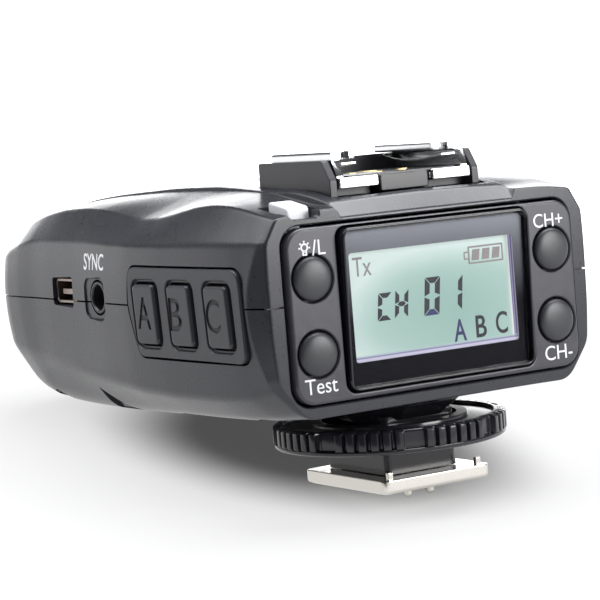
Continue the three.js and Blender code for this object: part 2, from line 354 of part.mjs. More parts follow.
// ---------------------------------------------------------------- boards, cells and fasteners
let board = join(solid(box(-17, 17, -5, 68, 33.2, 34.4)), solid(box(-26.4, -16, 26.5, 51, 33.2, 34.4)));
add('main_pcb', board, M.pcb);
for (const [name, x, flip] of [['battery_cell_1', -CELL.x, 1], ['battery_cell_2', CELL.x, -1]]) {
  const profile = [[0, 0], [5.8, 0], [CELL.r - 0.3, 0.3], [CELL.r, 0.8], [CELL.r, CELL.len - 0.8], [CELL.r - 0.4, CELL.len - 0.2], [2.75, CELL.len - 0.2], [2.75, CELL.len + 1.1], [0, CELL.len + 1.1]];
  const c = add(name, new THREE.LatheGeometry(profile.map(([a, b]) => V2(a, b)), 24), M.cell);
  c.position.set(x, flip > 0 ? CELL.y0 : CELL.y0 + CELL.len + 1.1, CELL.z);
  if (flip < 0) c.rotation.x = Math.PI;
}
add('battery_contact_front', box(-13.5, 13.5, BAY.y0 + 0.15, BAY.y0 + 0.65, 15.5, 25.9), M.nickel);
add('battery_contact_rear_1', box(-12.6, -2.6, BAY.y1 - 0.65, BAY.y1 - 0.15, 15.5, 25.9), M.nickel);
add('battery_contact_rear_2', box(2.6, 12.6, BAY.y1 - 0.65, BAY.y1 - 0.15, 15.5, 25.9), M.nickel);
SCREWS.forEach(([x, y], i) => {
  const profile = [[0, 0], [2.1, 0], [2.1, 1.3], [1.05, 1.5], [1.05, 15.6], [0.4, 16.4], [0, 16.4]];
  const s = add(`case_screw_${i + 1}`, new THREE.LatheGeometry(profile.map(([a, b]) => V2(a, b)), 14).rotateX(Math.PI / 2), M.steel);
  s.position.set(x, y, 18.55);
});
class Helix extends THREE.Curve {
  getPoint(t) { const a = t * Math.PI * 8; return new THREE.Vector3(20.5 + 1.5 * Math.cos(a), 20 + t * 14, 35.8 + 1.5 * Math.sin(a)); }
}
const wire = new THREE.Shape(); wire.absarc(0, 0, 0.35, 0, Math.PI * 2);
add('antenna_coil', new THREE.ExtrudeGeometry(wire, { steps: 28, curveSegments: 3, extrudePath: new Helix(), bevelEnabled: false }), M.gold);

export default group;
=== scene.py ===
import math

import bmesh
import bpy
import numpy as np
from mathutils import Matrix, Vector


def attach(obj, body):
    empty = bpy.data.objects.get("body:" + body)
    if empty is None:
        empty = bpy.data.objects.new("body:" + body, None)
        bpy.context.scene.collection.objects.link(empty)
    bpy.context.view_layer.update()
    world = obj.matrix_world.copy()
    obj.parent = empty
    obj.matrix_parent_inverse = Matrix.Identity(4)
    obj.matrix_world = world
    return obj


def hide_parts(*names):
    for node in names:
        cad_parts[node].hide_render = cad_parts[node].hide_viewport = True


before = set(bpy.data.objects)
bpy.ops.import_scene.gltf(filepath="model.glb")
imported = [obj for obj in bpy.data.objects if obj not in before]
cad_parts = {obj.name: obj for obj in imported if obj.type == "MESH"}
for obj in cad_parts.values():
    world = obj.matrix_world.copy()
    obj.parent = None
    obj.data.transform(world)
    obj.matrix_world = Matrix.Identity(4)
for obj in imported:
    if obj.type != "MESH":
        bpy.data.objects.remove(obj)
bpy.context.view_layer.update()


scene = bpy.context.scene
scene.view_settings.view_transform = "Standard"
scene.view_settings.look = "None"
scene.view_settings.exposure = 0.0
scene.view_settings.gamma = 1.0

# ------------------------------------------------------------------ dimensions, millimetres
GAP, WALL = 0.3, 1.9
FRONT_Y, REAR_Y, REAR_START, PARTING_Z = -14.24, 77.0, 58.0, 28.6
T_SIDE = [[-14.24, 27.95], [-10, 28.5], [-6, 29.05], [0.6, 29.7], [8, 30.2], [14, 30.5], [20.6, 30.6], [26.9, 30.35], [40.3, 29.45], [50.2, 28.95], [58.2, 28.6], [77, 28.6]]
T_UP_Z = [[-14.24, 37.3], [-6.7, 37.4], [0, 37.45], [12, 37.4], [24.4, 37.5], [37.6, 37.75], [48, 37.75], [57, 37.5], [62.5, 36.6], [68, 35.4], [77, 33.5]]
T_LOW_Z = [[-14.24, 17.9], [-10, 16.9], [-7.3, 16.35], [1, 15.85], [10, 15.75], [19, 15.95], [28.4, 16.45], [38.2, 17.15], [48.5, 18.3], [55.6, 19.0], [62.2, 19.65], [77, 21.0]]
T_BOT_X = [[-14.24, 22.8], [-8, 23.6], [0, 24.0], [60, 24.0], [77, 23.0]]
T_BOT_Z = [[-14.24, 12.7], [-8, 12.15], [-0.8, 11.75], [13.6, 11.45], [26, 11.35], [39, 11.2], [46.5, 11.3], [53, 11.5], [60, 12.05], [67, 13.2], [77, 15.0]]
T_KEEL_Z = [[-14.24, 12.7], [18, 12.5], [23, 10.7], [30, 10.3], [50, 9.8], [62, 9.45], [68, 9.25], [77, 9.2]]
T_WAVE = [[-14.24, 25.2, 40.55], [-12, 25.5, 41.0], [-9, 25.6, 41.55], [-6, 25.6, 42.05], [-2, 25.6, 42.5], [2, 25.6, 42.65], [6, 25.7, 42.45], [10, 25.9, 41.95], [14, 26.1, 41.35], [18, 26.2, 40.9], [22, 26.1, 40.8], [26, 25.8, 41.05], [30, 25.6, 41.45], [34, 25.4, 41.9], [38, 25.3, 42.25], [43, 25.2, 42.42], [49, 25.1, 42.25], [55, 25.0, 41.7], [61, 24.9, 40.6], [67, 24.8, 38.9], [77, 24.0, 36.5]]
T_OUT_Z = [[-14.24, 41.3], [-12, 41.35], [-9, 41.5], [-5, 42.1], [0, 42.9], [5, 43.55], [10, 43.85], [15, 44.05], [20, 44.15], [30, 44.1], [40, 43.8], [50, 43.4], [60, 42.6], [68, 41.3], [77, 39.0]]
T_PAD_Z = [[-14.24, 39.9], [-12.2, 41.9], [-9.8, 42.5], [-6, 43.2], [-2, 43.65], [5, 43.8], [10, 44.1], [15, 44.4], [20, 44.6], [30, 44.55], [40, 44.2], [50, 43.75], [60, 42.95], [68, 41.7], [77, 39.5]]
FRONT_OUT = [[0, 12.7], [16, 12.7], [22.8, 12.7], [26.6, 17.9], [27.1, 23.2], [27.2, 28.6], [27.25, 33.0], [27.1, 37.3], [25.2, 40.55], [20.5, 41.25], [15.5, 41.3], [14.9, 39.9], [8, 39.9], [0, 39.9]]
FACET_Y = [-13.4, -13.4, -13.6, -12.9, -10.8, -10.0, -10.9, -12.6, -13.4, -13.0, -12.6, -12.2, -12.2, -12.2]
PANEL = dict(hw=24.4, z0=14.8, z1=39.05, r=3.0, front=-15.1, t=1.9)
BEZEL = dict(hw=16.0, z0=15.9, z1=38.5, r=1.6, front=-15.85, t=2.7)
GLASS = dict(hw=15.3, z0=16.35, z1=37.9, t=0.9)
LEAN = math.radians(1.72)
LCD_Z = (BEZEL["z0"] + BEZEL["z1"]) / 2
BUTTONS = {"button_backlight": (-20.5, 32.1), "button_test": (-20.5, 21.7), "button_channel_up": (20.5, 32.1), "button_channel_down": (20.5, 21.7)}
BUTTON_R, BUTTON_HOLE_R = 3.05, 3.35
KEYPAD_X, KEYPAD_Y, KEYPAD_YAW = -29.95, 6.3, math.radians(3.2)
KEYS = {"key_a": 9.0, "key_b": -0.43, "key_c": -10.13}
KEY_W, KEY_Z0, KEY_Z1, KEY_SKEW, KEY_FACE = 6.0, 23.0, 31.8, 0.065, -0.3
JACK_Y, JACK_Z, JACK_R = 32.1, 29.3, 1.9
USB_Y, USB_Z = 44.9, 29.9
SCREWS = [(-21.5, -4.5), (21.5, -4.5), (-21.8, 60), (21.8, 60)]
PINS = {"foot_contact_main": (0, 0, 1.0, -1.3), "foot_contact_1": (-1.95, -6.4, 0.7, -1.8), "foot_contact_2": (1.95, -6.4, 0.7, -1.8), "foot_contact_3": (-4.1, -3.1, 0.7, -1.5), "foot_contact_4": (4.1, -3.1, 0.7, -1.5)}
BAY = dict(hw=16.4, y0=19.4, y1=72.6, z1=29.3, wall=1.2)


# ------------------------------------------------------------------ mesh helpers (all in millimetres until finish_piece)
def pchip(table, col, y):
    xs = [r[0] for r in table]
    ys = [r[col] for r in table]
    n = len(xs)
    if y <= xs[0]:
        return ys[0]
    if y >= xs[-1]:
        return ys[-1]
    h = [xs[i + 1] - xs[i] for i in range(n - 1)]
    d = [(ys[i + 1] - ys[i]) / h[i] for i in range(n - 1)]
    m = [d[0]] + [0.0] * (n - 2) + [d[-1]]
    for i in range(1, n - 1):
        if d[i - 1] * d[i] > 0:
            w1, w2 = 2 * h[i] + h[i - 1], h[i] + 2 * h[i - 1]
            m[i] = (w1 + w2) / (w1 / d[i - 1] + w2 / d[i])
    k = max(i for i in range(n - 1) if xs[i] <= y)
    t = (y - xs[k]) / h[k]
    return ((1 + 2 * t) * (1 - t) ** 2 * ys[k] + t * (1 - t) ** 2 * h[k] * m[k] + t * t * (3 - 2 * t) * ys[k + 1] + t * t * (t - 1) * h[k] * m[k + 1])


def raw(name, verts, faces):
    me = bpy.data.meshes.new(name)
    me.from_pydata([tuple(float(c) for c in v) for v in verts], [], faces)
    bm = bmesh.new()
    bm.from_mesh(me)
    bmesh.ops.remove_doubles(bm, verts=bm.verts, dist=1e-5)
    bmesh.ops.dissolve_degenerate(bm, edges=bm.edges, dist=1e-6)
    bmesh.ops.recalc_face_normals(bm, faces=bm.faces)
    bm.to_mesh(me)
    bm.free()
    o = bpy.data.objects.new(name, me)
    scene.collection.objects.link(o)
    return o


def loft(rings, name="tmp", caps=True, loop=False):
    n = len(rings[0])
    verts = [p for r in rings for p in r]
    faces = []
    m = len(rings)
    for i in range(m if loop else m - 1):
        for j in range(n):
            k = (j + 1) % n
            i2 = (i + 1) % m
            faces.append((i * n + j, i * n + k, i2 * n + k, i2 * n + j))
    if caps and not loop:
        faces.append(tuple(range(n)))
        faces.append(tuple(range((m - 1) * n, m * n)))
    return raw(name, verts, faces)


PX = lambda a, b, d: (d, a, b)
PY = lambda a, b, d: (a, d, b)
PZ = lambda a, b, d: (a, b, d)


def offset(pts, off):
    p = np.array(pts, float)
    if abs(off) < 1e-9:
        return p
    e = np.roll(p, -1, 0) - p
    e /= np.linalg.norm(e, axis=1)[:, None] + 1e-12
    nrm = np.stack([e[:, 1], -e[:, 0]], 1)
    prev = np.roll(nrm, 1, 0)
    s = nrm + prev
    area = 0.5 * np.sum(p[:, 0] * np.roll(p[:, 1], -1) - p[:, 1] * np.roll(p[:, 0], -1))
    k = 1.0 / np.maximum(0.25, 1 + np.sum(nrm * prev, 1))
    return p + s * k[:, None] * off * (1 if area > 0 else -1)


def stack(pts, steps, place, name="tmp"):
    return loft([[place(a, b, d) for a, b in offset(pts, off)] for off, d in steps], name)


def slab(pts, d0, d1, place, r0=0.0, r1=0.0, n=4, name="tmp"):
    steps = []
    if r0 > 0:
        steps += [(-r0 * (1 - math.sin(math.pi / 2 * k / n)), d0 + r0 * (1 - math.cos(math.pi / 2 * k / n))) for k in range(n + 1)]
    else:
        steps.append((0, d0))
    if r1 > 0:
        steps += [(-r1 * (1 - math.cos(math.pi / 2 * k / n)), d1 - r1 * (1 - math.sin(math.pi / 2 * k / n))) for k in range(n + 1)]
    else:
        steps.append((0, d1))
    return stack(pts, steps, place, name)


def rrect(a0, a1, b0, b1, r, n=6):
    pts = []
    for cx, cy, s in ((a1 - r, b0 + r, -90), (a1 - r, b1 - r, 0), (a0 + r, b1 - r, 90), (a0 + r, b0 + r, 180)):
        for i in range(n + 1):
            t = math.radians(s + 90 * i / n)
            pts.append((cx + r * math.cos(t), cy + r * math.sin(t)))
    return pts


def disc(cx, cy, r, n=64):
    return [(cx + r * math.cos(2 * math.pi * i / n), cy + r * math.sin(2 * math.pi * i / n)) for i in range(n)]


def fillet(pts, radii, n=5):
    p = np.array(pts, float)
    m = len(p)
    if not isinstance(radii, (list, tuple)):
        radii = [radii] * m
    out = []
    for i in range(m):
        r = radii[i]
        a, c, b = p[i - 1], p[i], p[(i + 1) % m]
        la, lb = np.linalg.norm(a - c), np.linalg.norm(b - c)
        if r <= 0:
            out.append(tuple(c))
            continue
        da, db = (a - c) / la, (b - c) / lb
        ta, tb = min(r, 0.49 * la), min(r, 0.49 * lb)
        A, B = c + da * ta, c + db * tb
        for k in range(n + 1):
            t = k / n
            # a quadratic curve weighted to sit close to a circular arc
            w = 0.75
            q = ((1 - t) ** 2 * A + 2 * t * (1 - t) * w * c + t * t * B) / ((1 - t) ** 2 + 2 * t * (1 - t) * w + t * t)
            out.append(tuple(q))
    return out


def box(x0, x1, y0, y1, z0, z1, name="tmp"):
    return loft([[(x0, y0, z0), (x1, y0, z0), (x1, y1, z0), (x0, y1, z0)], [(x0, y0, z1), (x1, y0, z1), (x1, y1, z1), (x0, y1, z1)]], name)


def rbox(x0, x1, y0, y1, z0, z1, r=0.2, c=0.4, name="tmp"):
    return slab(rrect(x0, x1, y0, y1, c, 5), z0, z1, PZ, r, r, 3, name)


def lathe(profile, n=48, axis="z", at=(0, 0, 0), loop=False, name="tmp"):
    rings = []
    for r, h in profile:
        ring = []
        for i in range(n):
            a = 2 * math.pi * i / n
            u, v = r * math.cos(a), r * math.sin(a)
            p = {"z": (u, v, h), "y": (u, h, v), "x": (h, u, v)}[axis]
            ring.append((p[0] + at[0], p[1] + at[1], p[2] + at[2]))
        rings.append(ring)
    caps = not loop and profile[0][0] > 1e-6 and profile[-1][0] > 1e-6
    return loft(rings, name, caps=caps, loop=loop)


def rod(r, d0, d1, axis, at=(0, 0, 0), n=40):
    return lathe([(r, d0), (r, d1)], n, axis, at)


def evaluated(o):
    bpy.context.view_layer.update()
    dg = bpy.context.evaluated_depsgraph_get()
    return bpy.data.meshes.new_from_object(o.evaluated_get(dg))


def drop(o):
    me = o.data
    bpy.data.objects.remove(o)
    if me.users == 0:
        bpy.data.meshes.remove(me)


def boolean(o, others, op="DIFFERENCE", solvers=("MANIFOLD", "EXACT")):
    for t in others:
        done = None
        for solver in solvers:
            m = o.modifiers.new("b", "BOOLEAN")
            m.object, m.operation, m.solver = t, op, solver
            me = evaluated(o)
            o.modifiers.clear()
            if len(me.polygons) > 0 and (op != "DIFFERENCE" or len(me.polygons) != len(o.data.polygons)):
                done = me
                break
            done = done or me
        o.data = done
        drop(t)
    return o


def cut(o, *tools):
    return boolean(o, tools, "DIFFERENCE")


def join(o, *tools):
    return boolean(o, tools, "UNION")


def meet(o, *tools):
    return boolean(o, tools, "INTERSECT")


def copy(o):
    c = bpy.data.objects.new(o.name + "c", o.data.copy())
    scene.collection.objects.link(c)
    return c


def merge(objs, name):
    bm = bmesh.new()
    for o in objs:
        bm.from_mesh(o.data)
    me = bpy.data.meshes.new(name)
    bm.to_mesh(me)
    bm.free()
    for o in objs:
        drop(o)
    o = bpy.data.objects.new(name, me)
    scene.collection.objects.link(o)
    return o


def transform(o, mat):
    o.data.transform(mat)
    return o


def piece(o, name, material, body, nodes=(), sharp=30.0, weighted=True):
    """Names the piece, brings it to metres, shades it and puts it on its body."""
    o.name = name
    o.data.name = name
    o.data.transform(Matrix.Scale(0.001, 4))
    o.data.materials.clear()
    o.data.materials.append(material)
    for p in o.data.polygons:
        p.use_smooth = True
        p.material_index = 0
    o.data.set_sharp_from_angle(angle=math.radians(sharp))
    if weighted:
        w = o.modifiers.new("weighted", "WEIGHTED_NORMAL")
        w.keep_sharp = True
        w.weight = 70
    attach(o, body)
    if nodes:
        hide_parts(*nodes)
    return o


# ------------------------------------------------------------------ materials
def srgb(r, g, b):
    f = lambda c: (c / 255) / 12.92 if c / 255 <= 0.04045 else ((c / 255 + 0.055) / 1.055) ** 2.4
    return (f(r), f(g), f(b), 1.0)


def material(name, color, rough, metal=0.0, spec=0.5, grain=None, vary=0.0, bevel=0.0, coat=0.0, coat_rough=0.05, rough_vary=0.0, emission=None, subsurface=0.0, mottle=600.0):
    m = bpy.data.materials.new(name)
    m.use_nodes = True
    nt = m.node_tree
    b = nt.nodes["Principled BSDF"]
    b.inputs["Base Color"].default_value = color
    b.inputs["Roughness"].default_value = rough
    b.inputs["Metallic"].default_value = metal
    b.inputs["Specular IOR Level"].default_value = spec
    b.inputs["Coat Weight"].default_value = coat
    b.inputs["Coat Roughness"].default_value = coat_rough
    if subsurface:
        b.inputs["Subsurface Weight"].default_value = subsurface
        b.inputs["Subsurface Radius"].default_value = (0.001, 0.001, 0.001)
    if emission:
        b.inputs["Emission Color"].default_value = emission[0]
        b.inputs["Emission Strength"].default_value = emission[1]
    tc = nt.nodes.new("ShaderNodeTexCoord")
    if vary or rough_vary:
        nz = nt.nodes.new("ShaderNodeTexNoise")
        nz.inputs["Scale"].default_value = mottle
        nz.inputs["Detail"].default_value = 3.0
        nt.links.new(tc.outputs["Object"], nz.inputs["Vector"])
        if vary:
            ramp = nt.nodes.new("ShaderNodeMapRange")
            ramp.inputs["From Min"].default_value = 0.3
            ramp.inputs["From Max"].default_value = 0.7
            ramp.inputs["To Min"].default_value = 1 - vary
            ramp.inputs["To Max"].default_value = 1 + vary
            nt.links.new(nz.outputs["Fac"], ramp.inputs["Value"])
            mul = nt.nodes.new("ShaderNodeMix")
            mul.data_type = "RGBA"
            mul.blend_type = "MULTIPLY"
            mul.inputs["Factor"].default_value = 1.0
            mul.inputs[6].default_value = color
            nt.links.new(ramp.outputs["Result"], mul.inputs[7])
            nt.links.new(mul.outputs[2], b.inputs["Base Color"])
        if rough_vary:
            rr = nt.nodes.new("ShaderNodeMapRange")
            rr.inputs["From Min"].default_value = 0.3
            rr.inputs["From Max"].default_value = 0.7
            rr.inputs["To Min"].default_value = max(0.0, rough - rough_vary)
            rr.inputs["To Max"].default_value = min(1.0, rough + rough_vary)
            nt.links.new(nz.outputs["Fac"], rr.inputs["Value"])
            nt.links.new(rr.outputs["Result"], b.inputs["Roughness"])
    last = None
    if bevel:
        bv = nt.nodes.new("ShaderNodeBevel")
        bv.samples = 4
        bv.inputs["Radius"].default_value = bevel * 0.001
        last = bv.outputs["Normal"]
    if grain:
        g = nt.nodes.new("ShaderNodeTexNoise")
        g.inputs["Scale"].default_value = 1000.0 / grain[0]
        g.inputs["Detail"].default_value = 2.0
        g.inputs["Roughness"].default_value = 0.6
        nt.links.new(tc.outputs["Object"], g.inputs["Vector"])
        bp = nt.nodes.new("ShaderNodeBump")
        bp.inputs["Strength"].default_value = grain[1]
        bp.inputs["Distance"].default_value = grain[2] * 0.001
        nt.links.new(g.outputs["Fac"], bp.inputs["Height"])
        if last:
            nt.links.new(last, bp.inputs["Normal"])
        last = bp.outputs["Normal"]
    if last:
        nt.links.new(last, b.inputs["Normal"])
    return m


M = {
    "case": material("case_plastic", (0.019, 0.020, 0.026, 1), 0.28, spec=0.5, grain=(0.20, 0.25, 0.022), vary=0.04, bevel=0.0, rough_vary=0.012),
    "panel": material("panel_satin", (0.035, 0.035, 0.043, 1), 0.33, grain=(0.16, 0.35, 0.025), vary=0.08, bevel=0.12, rough_vary=0.05),
    "bezel": material("bezel_black", (0.006, 0.006, 0.009, 1), 0.16, grain=(0.8, 0.05, 0.01), bevel=0.15),
    "rubber": material("button_rubber", (0.024, 0.025, 0.029, 1), 0.38, grain=(0.2, 0.3, 0.02), vary=0.06),
    "keys": material("key_plastic", (0.020, 0.021, 0.027, 1), 0.38, grain=(0.2, 0.35, 0.025), vary=0.06, bevel=0.12),
    # the darker colour laid in the debossed key letters is painted shade in their recesses
    "mark": material("key_letter_shade", (0.007, 0.007, 0.009, 1), 0.5, grain=(0.3, 0.2, 0.02)),
    "black": material("black_plastic", (0.012, 0.012, 0.015, 1), 0.3, grain=(0.3, 0.2, 0.02), vary=0.05, bevel=0.12),
    "gloss": material("gloss_black", (0.013, 0.013, 0.017, 1), 0.16, grain=(1.2, 0.08, 0.02), bevel=0.15),
    "bracket": material("bracket_black", (0.024, 0.024, 0.029, 1), 0.40, grain=(0.4, 0.2, 0.02), vary=0.05, bevel=0.12),
    "chrome": material("chrome", (0.70, 0.71, 0.72, 1), 0.17, 1.0, grain=(2.2, 0.05, 0.02), bevel=0.2, rough_vary=0.03),
    "nickel": material("nickel", (0.74, 0.71, 0.66, 1), 0.2, 1.0, grain=(1.0, 0.12, 0.02), bevel=0.2, rough_vary=0.06),
    "gold": material("contact_gold", (0.72, 0.55, 0.26, 1), 0.22, 1.0, grain=(0.6, 0.1, 0.01), rough_vary=0.05),
    "pin": material("contact_pin", (0.66, 0.64, 0.58, 1), 0.2, 1.0, grain=(0.6, 0.1, 0.01), rough_vary=0.05),
    "shell": material("socket_shell", (0.30, 0.25, 0.22, 1), 0.35, 1.0, grain=(0.5, 0.2, 0.02), rough_vary=0.08),
    "steel": material("steel", (0.52, 0.53, 0.54, 1), 0.3, 1.0, grain=(0.8, 0.1, 0.02), bevel=0.1, rough_vary=0.06),
    "pcb": material("circuit_board", (0.012, 0.085, 0.04, 1), 0.35, grain=(0.6, 0.3, 0.03), vary=0.15),
    "diffuser": material("diffuser_white", (0.8, 0.8, 0.78, 1), 0.4, grain=(0.6, 0.1, 0.02), vary=0.02),
    "knob": material("knob_milky", (0.70, 0.71, 0.75, 1), 0.3, grain=(0.5, 0.06, 0.01), subsurface=0.15, bevel=0.15, vary=0.01),
    "cell": material("cell_jacket", (0.10, 0.13, 0.16, 1), 0.28, 0.2, grain=(1.0, 0.05, 0.01), vary=0.05),
    # the print also glows faintly through its emission: painted light that lifts the white letters
    "print": material("print_white", (0.66, 0.66, 0.68, 1), 0.45, grain=(0.3, 0.05, 0.01), vary=0.02, emission=((1, 1, 1, 1), 0.04)),
    "segment": material("lcd_segment", (0.010, 0.010, 0.020, 1), 0.6, vary=0.1),
    "segment_blue": material("lcd_segment_blue", (0.022, 0.024, 0.11, 1), 0.6, vary=0.1),
    "segment_faint": material("lcd_segment_faint", (0.22, 0.20, 0.20, 1), 0.6, vary=0.06),
    "mask": material("lcd_mask", (0.004, 0.004, 0.006, 1), 0.35, vary=0.05),
}


def lcd_material():
    m = bpy.data.materials.new("lcd_face")
    m.use_nodes = True
    nt = m.node_tree
    b = nt.nodes["Principled BSDF"]
    N, L = nt.nodes.new, nt.links.new
    tc = N("ShaderNodeTexCoord")
    sep = N("ShaderNodeSeparateXYZ")
    L(tc.outputs["Object"], sep.inputs[0])

    def math_node(op, a, c=None, clamp=False):
        n = N("ShaderNodeMath")
        n.operation = op
        n.use_clamp = clamp
        for i, v in enumerate((a, c)):
            if v is None:
                continue
            if isinstance(v, (int, float)):
                n.inputs[i].default_value = v
            else:
                L(v, n.inputs[i])
        return n.outputs[0]

    # painted light: the display face is painted lighter towards its top and edges and darker in the middle; the noise
    # only adds random tone
    dx = math_node("DIVIDE", math_node("SUBTRACT", sep.outputs["X"], 0.0030), 0.0190)
    dz = math_node("DIVIDE", math_node("SUBTRACT", sep.outputs["Z"], 0.0250), 0.0095)
    rr = math_node("ADD", math_node("MULTIPLY", dx, dx), math_node("MULTIPLY", dz, dz))
    nz = N("ShaderNodeTexNoise")
    nz.inputs["Scale"].default_value = 90
    L(tc.outputs["Object"], nz.inputs["Vector"])
    rr = math_node("ADD", rr, math_node("MULTIPLY", math_node("SUBTRACT", nz.outputs["Fac"], 0.5), 0.35))
    ramp = N("ShaderNodeValToRGB")
    e = ramp.color_ramp.elements
    e[0].position, e[0].color = 0.0, srgb(158, 190, 181)
    e[1].position, e[1].color = 1.0, srgb(216, 233, 229)
    mid = e.new(0.45)
    mid.color = srgb(174, 203, 195)
    L(rr, ramp.inputs["Fac"])

    def band(coord, lo, hi, stops):
        mr = N("ShaderNodeMapRange")
        mr.inputs["From Min"].default_value = lo
        mr.inputs["From Max"].default_value = hi
        L(coord, mr.inputs["Value"])
        r = N("ShaderNodeValToRGB")
        el = r.color_ramp.elements
        el[0].position, el[0].color = stops[0]
        el[1].position, el[1].color = stops[-1]
        for pos, col in stops[1:-1]:
            x = el.new(pos)
            x.color = col
        L(mr.outputs["Result"], r.inputs["Fac"])
        return r.outputs["Color"], r.outputs["Alpha"]

    def over(base, coord, lo, hi, stops):
        col, al = band(coord, lo, hi, stops)
        mx = N("ShaderNodeMix")
        mx.data_type = "RGBA"
        L(al, mx.inputs["Factor"])
        L(base, mx.inputs[6])
        L(col, mx.inputs[7])
        return mx.outputs[2]

    A = lambda c, a: (c[0], c[1], c[2], a)
    # bands along the right and bottom edges draw the cell's inner edges seen at a slant; their near-white stripe is a
    # painted highlight
    right = [(0.0, A(srgb(190, 208, 203), 0)), (0.30, A(srgb(190, 204, 200), 0.75)), (0.52, A(srgb(235, 242, 240), 1)), (0.62, A(srgb(120, 112, 160), 1)), (0.72, A(srgb(190, 184, 215), 1)), (0.85, A(srgb(92, 84, 128), 1)), (1.0, A(srgb(205, 200, 225), 1))]
    bottom = [(0.0, A(srgb(205, 203, 226), 1)), (0.35, A(srgb(214, 212, 232), 1)), (0.52, A(srgb(128, 122, 168), 1)), (0.66, A(srgb(170, 180, 200), 0.9)), (1.0, A(srgb(200, 218, 212), 0))]
    out = over(ramp.outputs["Color"], sep.outputs["X"], 0.0124, 0.0141, right)
    out = over(out, sep.outputs["Z"], 0.0196, 0.0206, bottom)
    # the face's own colour is dimmed and fed to emission instead, so the display glows with painted light
    dim = N("ShaderNodeMix")
    dim.data_type = "RGBA"
    dim.blend_type = "MULTIPLY"
    dim.inputs["Factor"].default_value = 1.0
    dim.inputs[7].default_value = (0.35, 0.35, 0.35, 1)
    L(out, dim.inputs[6])
    L(dim.outputs[2], b.inputs["Base Color"])
    L(out, b.inputs["Emission Color"])
    b.inputs["Emission Strength"].default_value = 0.60
    b.inputs["Roughness"].default_value = 0.6
    b.inputs["Specular IOR Level"].default_value = 0.2
    return m


def window_material():
    m = bpy.data.materials.new("window_clear")
    m.use_nodes = True
    nt = m.node_tree
    nt.nodes.clear()
    N, L = nt.nodes.new, nt.links.new
    out = N("ShaderNodeOutputMaterial")
    mix = N("ShaderNodeMixShader")
    tr = N("ShaderNodeBsdfTransparent")
    gl = N("ShaderNodeBsdfGlossy")
    gl.inputs["Roughness"].default_value = 0.04
    fr = N("ShaderNodeFresnel")
    fr.inputs["IOR"].default_value = 1.06
    tc = N("ShaderNodeTexCoord")
    nz = N("ShaderNodeTexNoise")
    nz.inputs["Scale"].default_value = 60
    L(tc.outputs["Object"], nz.inputs["Vector"])
    bp = N("ShaderNodeBump")
    bp.inputs["Strength"].default_value = 0.05
    bp.inputs["Distance"].default_value = 0.0005
    L(nz.outputs["Fac"], bp.inputs["Height"])
    L(bp.outputs["Normal"], gl.inputs["Normal"])
    tr.inputs["Color"].default_value = (0.97, 0.97, 0.97, 1)
    L(fr.outputs[0], mix.inputs["Fac"])
    L(tr.outputs[0], mix.inputs[1])
    L(gl.outputs[0], mix.inputs[2])
    L(mix.outputs[0], out.inputs["Surface"])
    return m


def mask_material():
    m = bpy.data.materials.new("lcd_mask")
    m.use_nodes = True
    nt = m.node_tree
    b = nt.nodes["Principled BSDF"]
    tc = nt.nodes.new("ShaderNodeTexCoord")
    sep = nt.nodes.new("ShaderNodeSeparateXYZ")
    nt.links.new(tc.outputs["Object"], sep.inputs[0])
    # painted reflection: the black border is painted from near black at the bottom to grey at the top
    mr = nt.nodes.new("ShaderNodeMapRange")
    mr.inputs["From Min"].default_value = 0.0165
    mr.inputs["From Max"].default_value = 0.0385
    nt.links.new(sep.outputs["Z"], mr.inputs["Value"])
    nz = nt.nodes.new("ShaderNodeTexNoise")
    nz.inputs["Scale"].default_value = 70
    nt.links.new(tc.outputs["Object"], nz.inputs["Vector"])
    ad = nt.nodes.new("ShaderNodeMath")
    ad.operation = "MULTIPLY_ADD"
    ad.inputs[1].default_value = 0.08
    nt.links.new(nz.outputs["Fac"], ad.inputs[0])
    nt.links.new(mr.outputs["Result"], ad.inputs[2])
    rp = nt.nodes.new("ShaderNodeValToRGB")
    e = rp.color_ramp.elements
    e[0].position, e[0].color = 0.45, (0.002, 0.002, 0.005, 1)
    e[1].position, e[1].color = 1.0, (0.22, 0.23, 0.26, 1)
    x = e.new(0.80)
    x.color = (0.10, 0.105, 0.12, 1)
    nt.links.new(ad.outputs[0], rp.inputs["Fac"])
    nt.links.new(rp.outputs["Color"], b.inputs["Base Color"])
    b.inputs["Roughness"].default_value = 0.5
    b.inputs["Specular IOR Level"].default_value = 0.1
    return m


M["mask"] = mask_material()
M["lcd"] = lcd_material()
M["window"] = window_material()

# ------------------------------------------------------------------ case skin
CORNER = {1: (0.3, 0.5), 2: (0.27, 0.32), 3: (0.19, 0.2), 4: (0.5, 0.5), 5: (0.5, 0.5), 6: (0.5, 0.42), 7: (0.16, 0.12), 8: (0.10, 0.11), 9: (0.5, 0.5), 10: (0.07, 0.4), 11: (0.4, 0.06), 12: (0.5, 0.5)}
SEG = {0: 8, 1: 3, 2: 3, 3: 4, 4: 1, 5: 1, 6: 3, 7: 4, 8: 3, 9: 3, 10: 1, 11: 3, 12: 5}


def weights():
    rows = []

    def add(d):
        w = np.zeros(14)
        for k, v in d.items():
            w[k] += v
        if not rows or np.abs(rows[-1] - w).max() > 1e-6:
            rows.append(w)

    add({0: 1})
    for i in range(13):
        s0 = CORNER[i][1] if i else 0.0
        s1 = 1 - (CORNER[i + 1][0] if i + 1 < 13 else 0.0)
        for k in range(1, SEG[i] + 1):
            s = s0 + (s1 - s0) * k / SEG[i]
            add({i: 1 - s, i + 1: s})
        if i + 1 < 13:
            a, b = CORNER[i + 1]
            K = 6
            for k in range(1, K + 1):
                t = k / K
                qa, qc, qb = (1 - t) ** 2, 2 * t * (1 - t), t * t
                add({i: qa * a, i + 1: qa * (1 - a) + qc + qb * (1 - b), i + 2: qb * b})
    return np.array(rows)


W = weights()


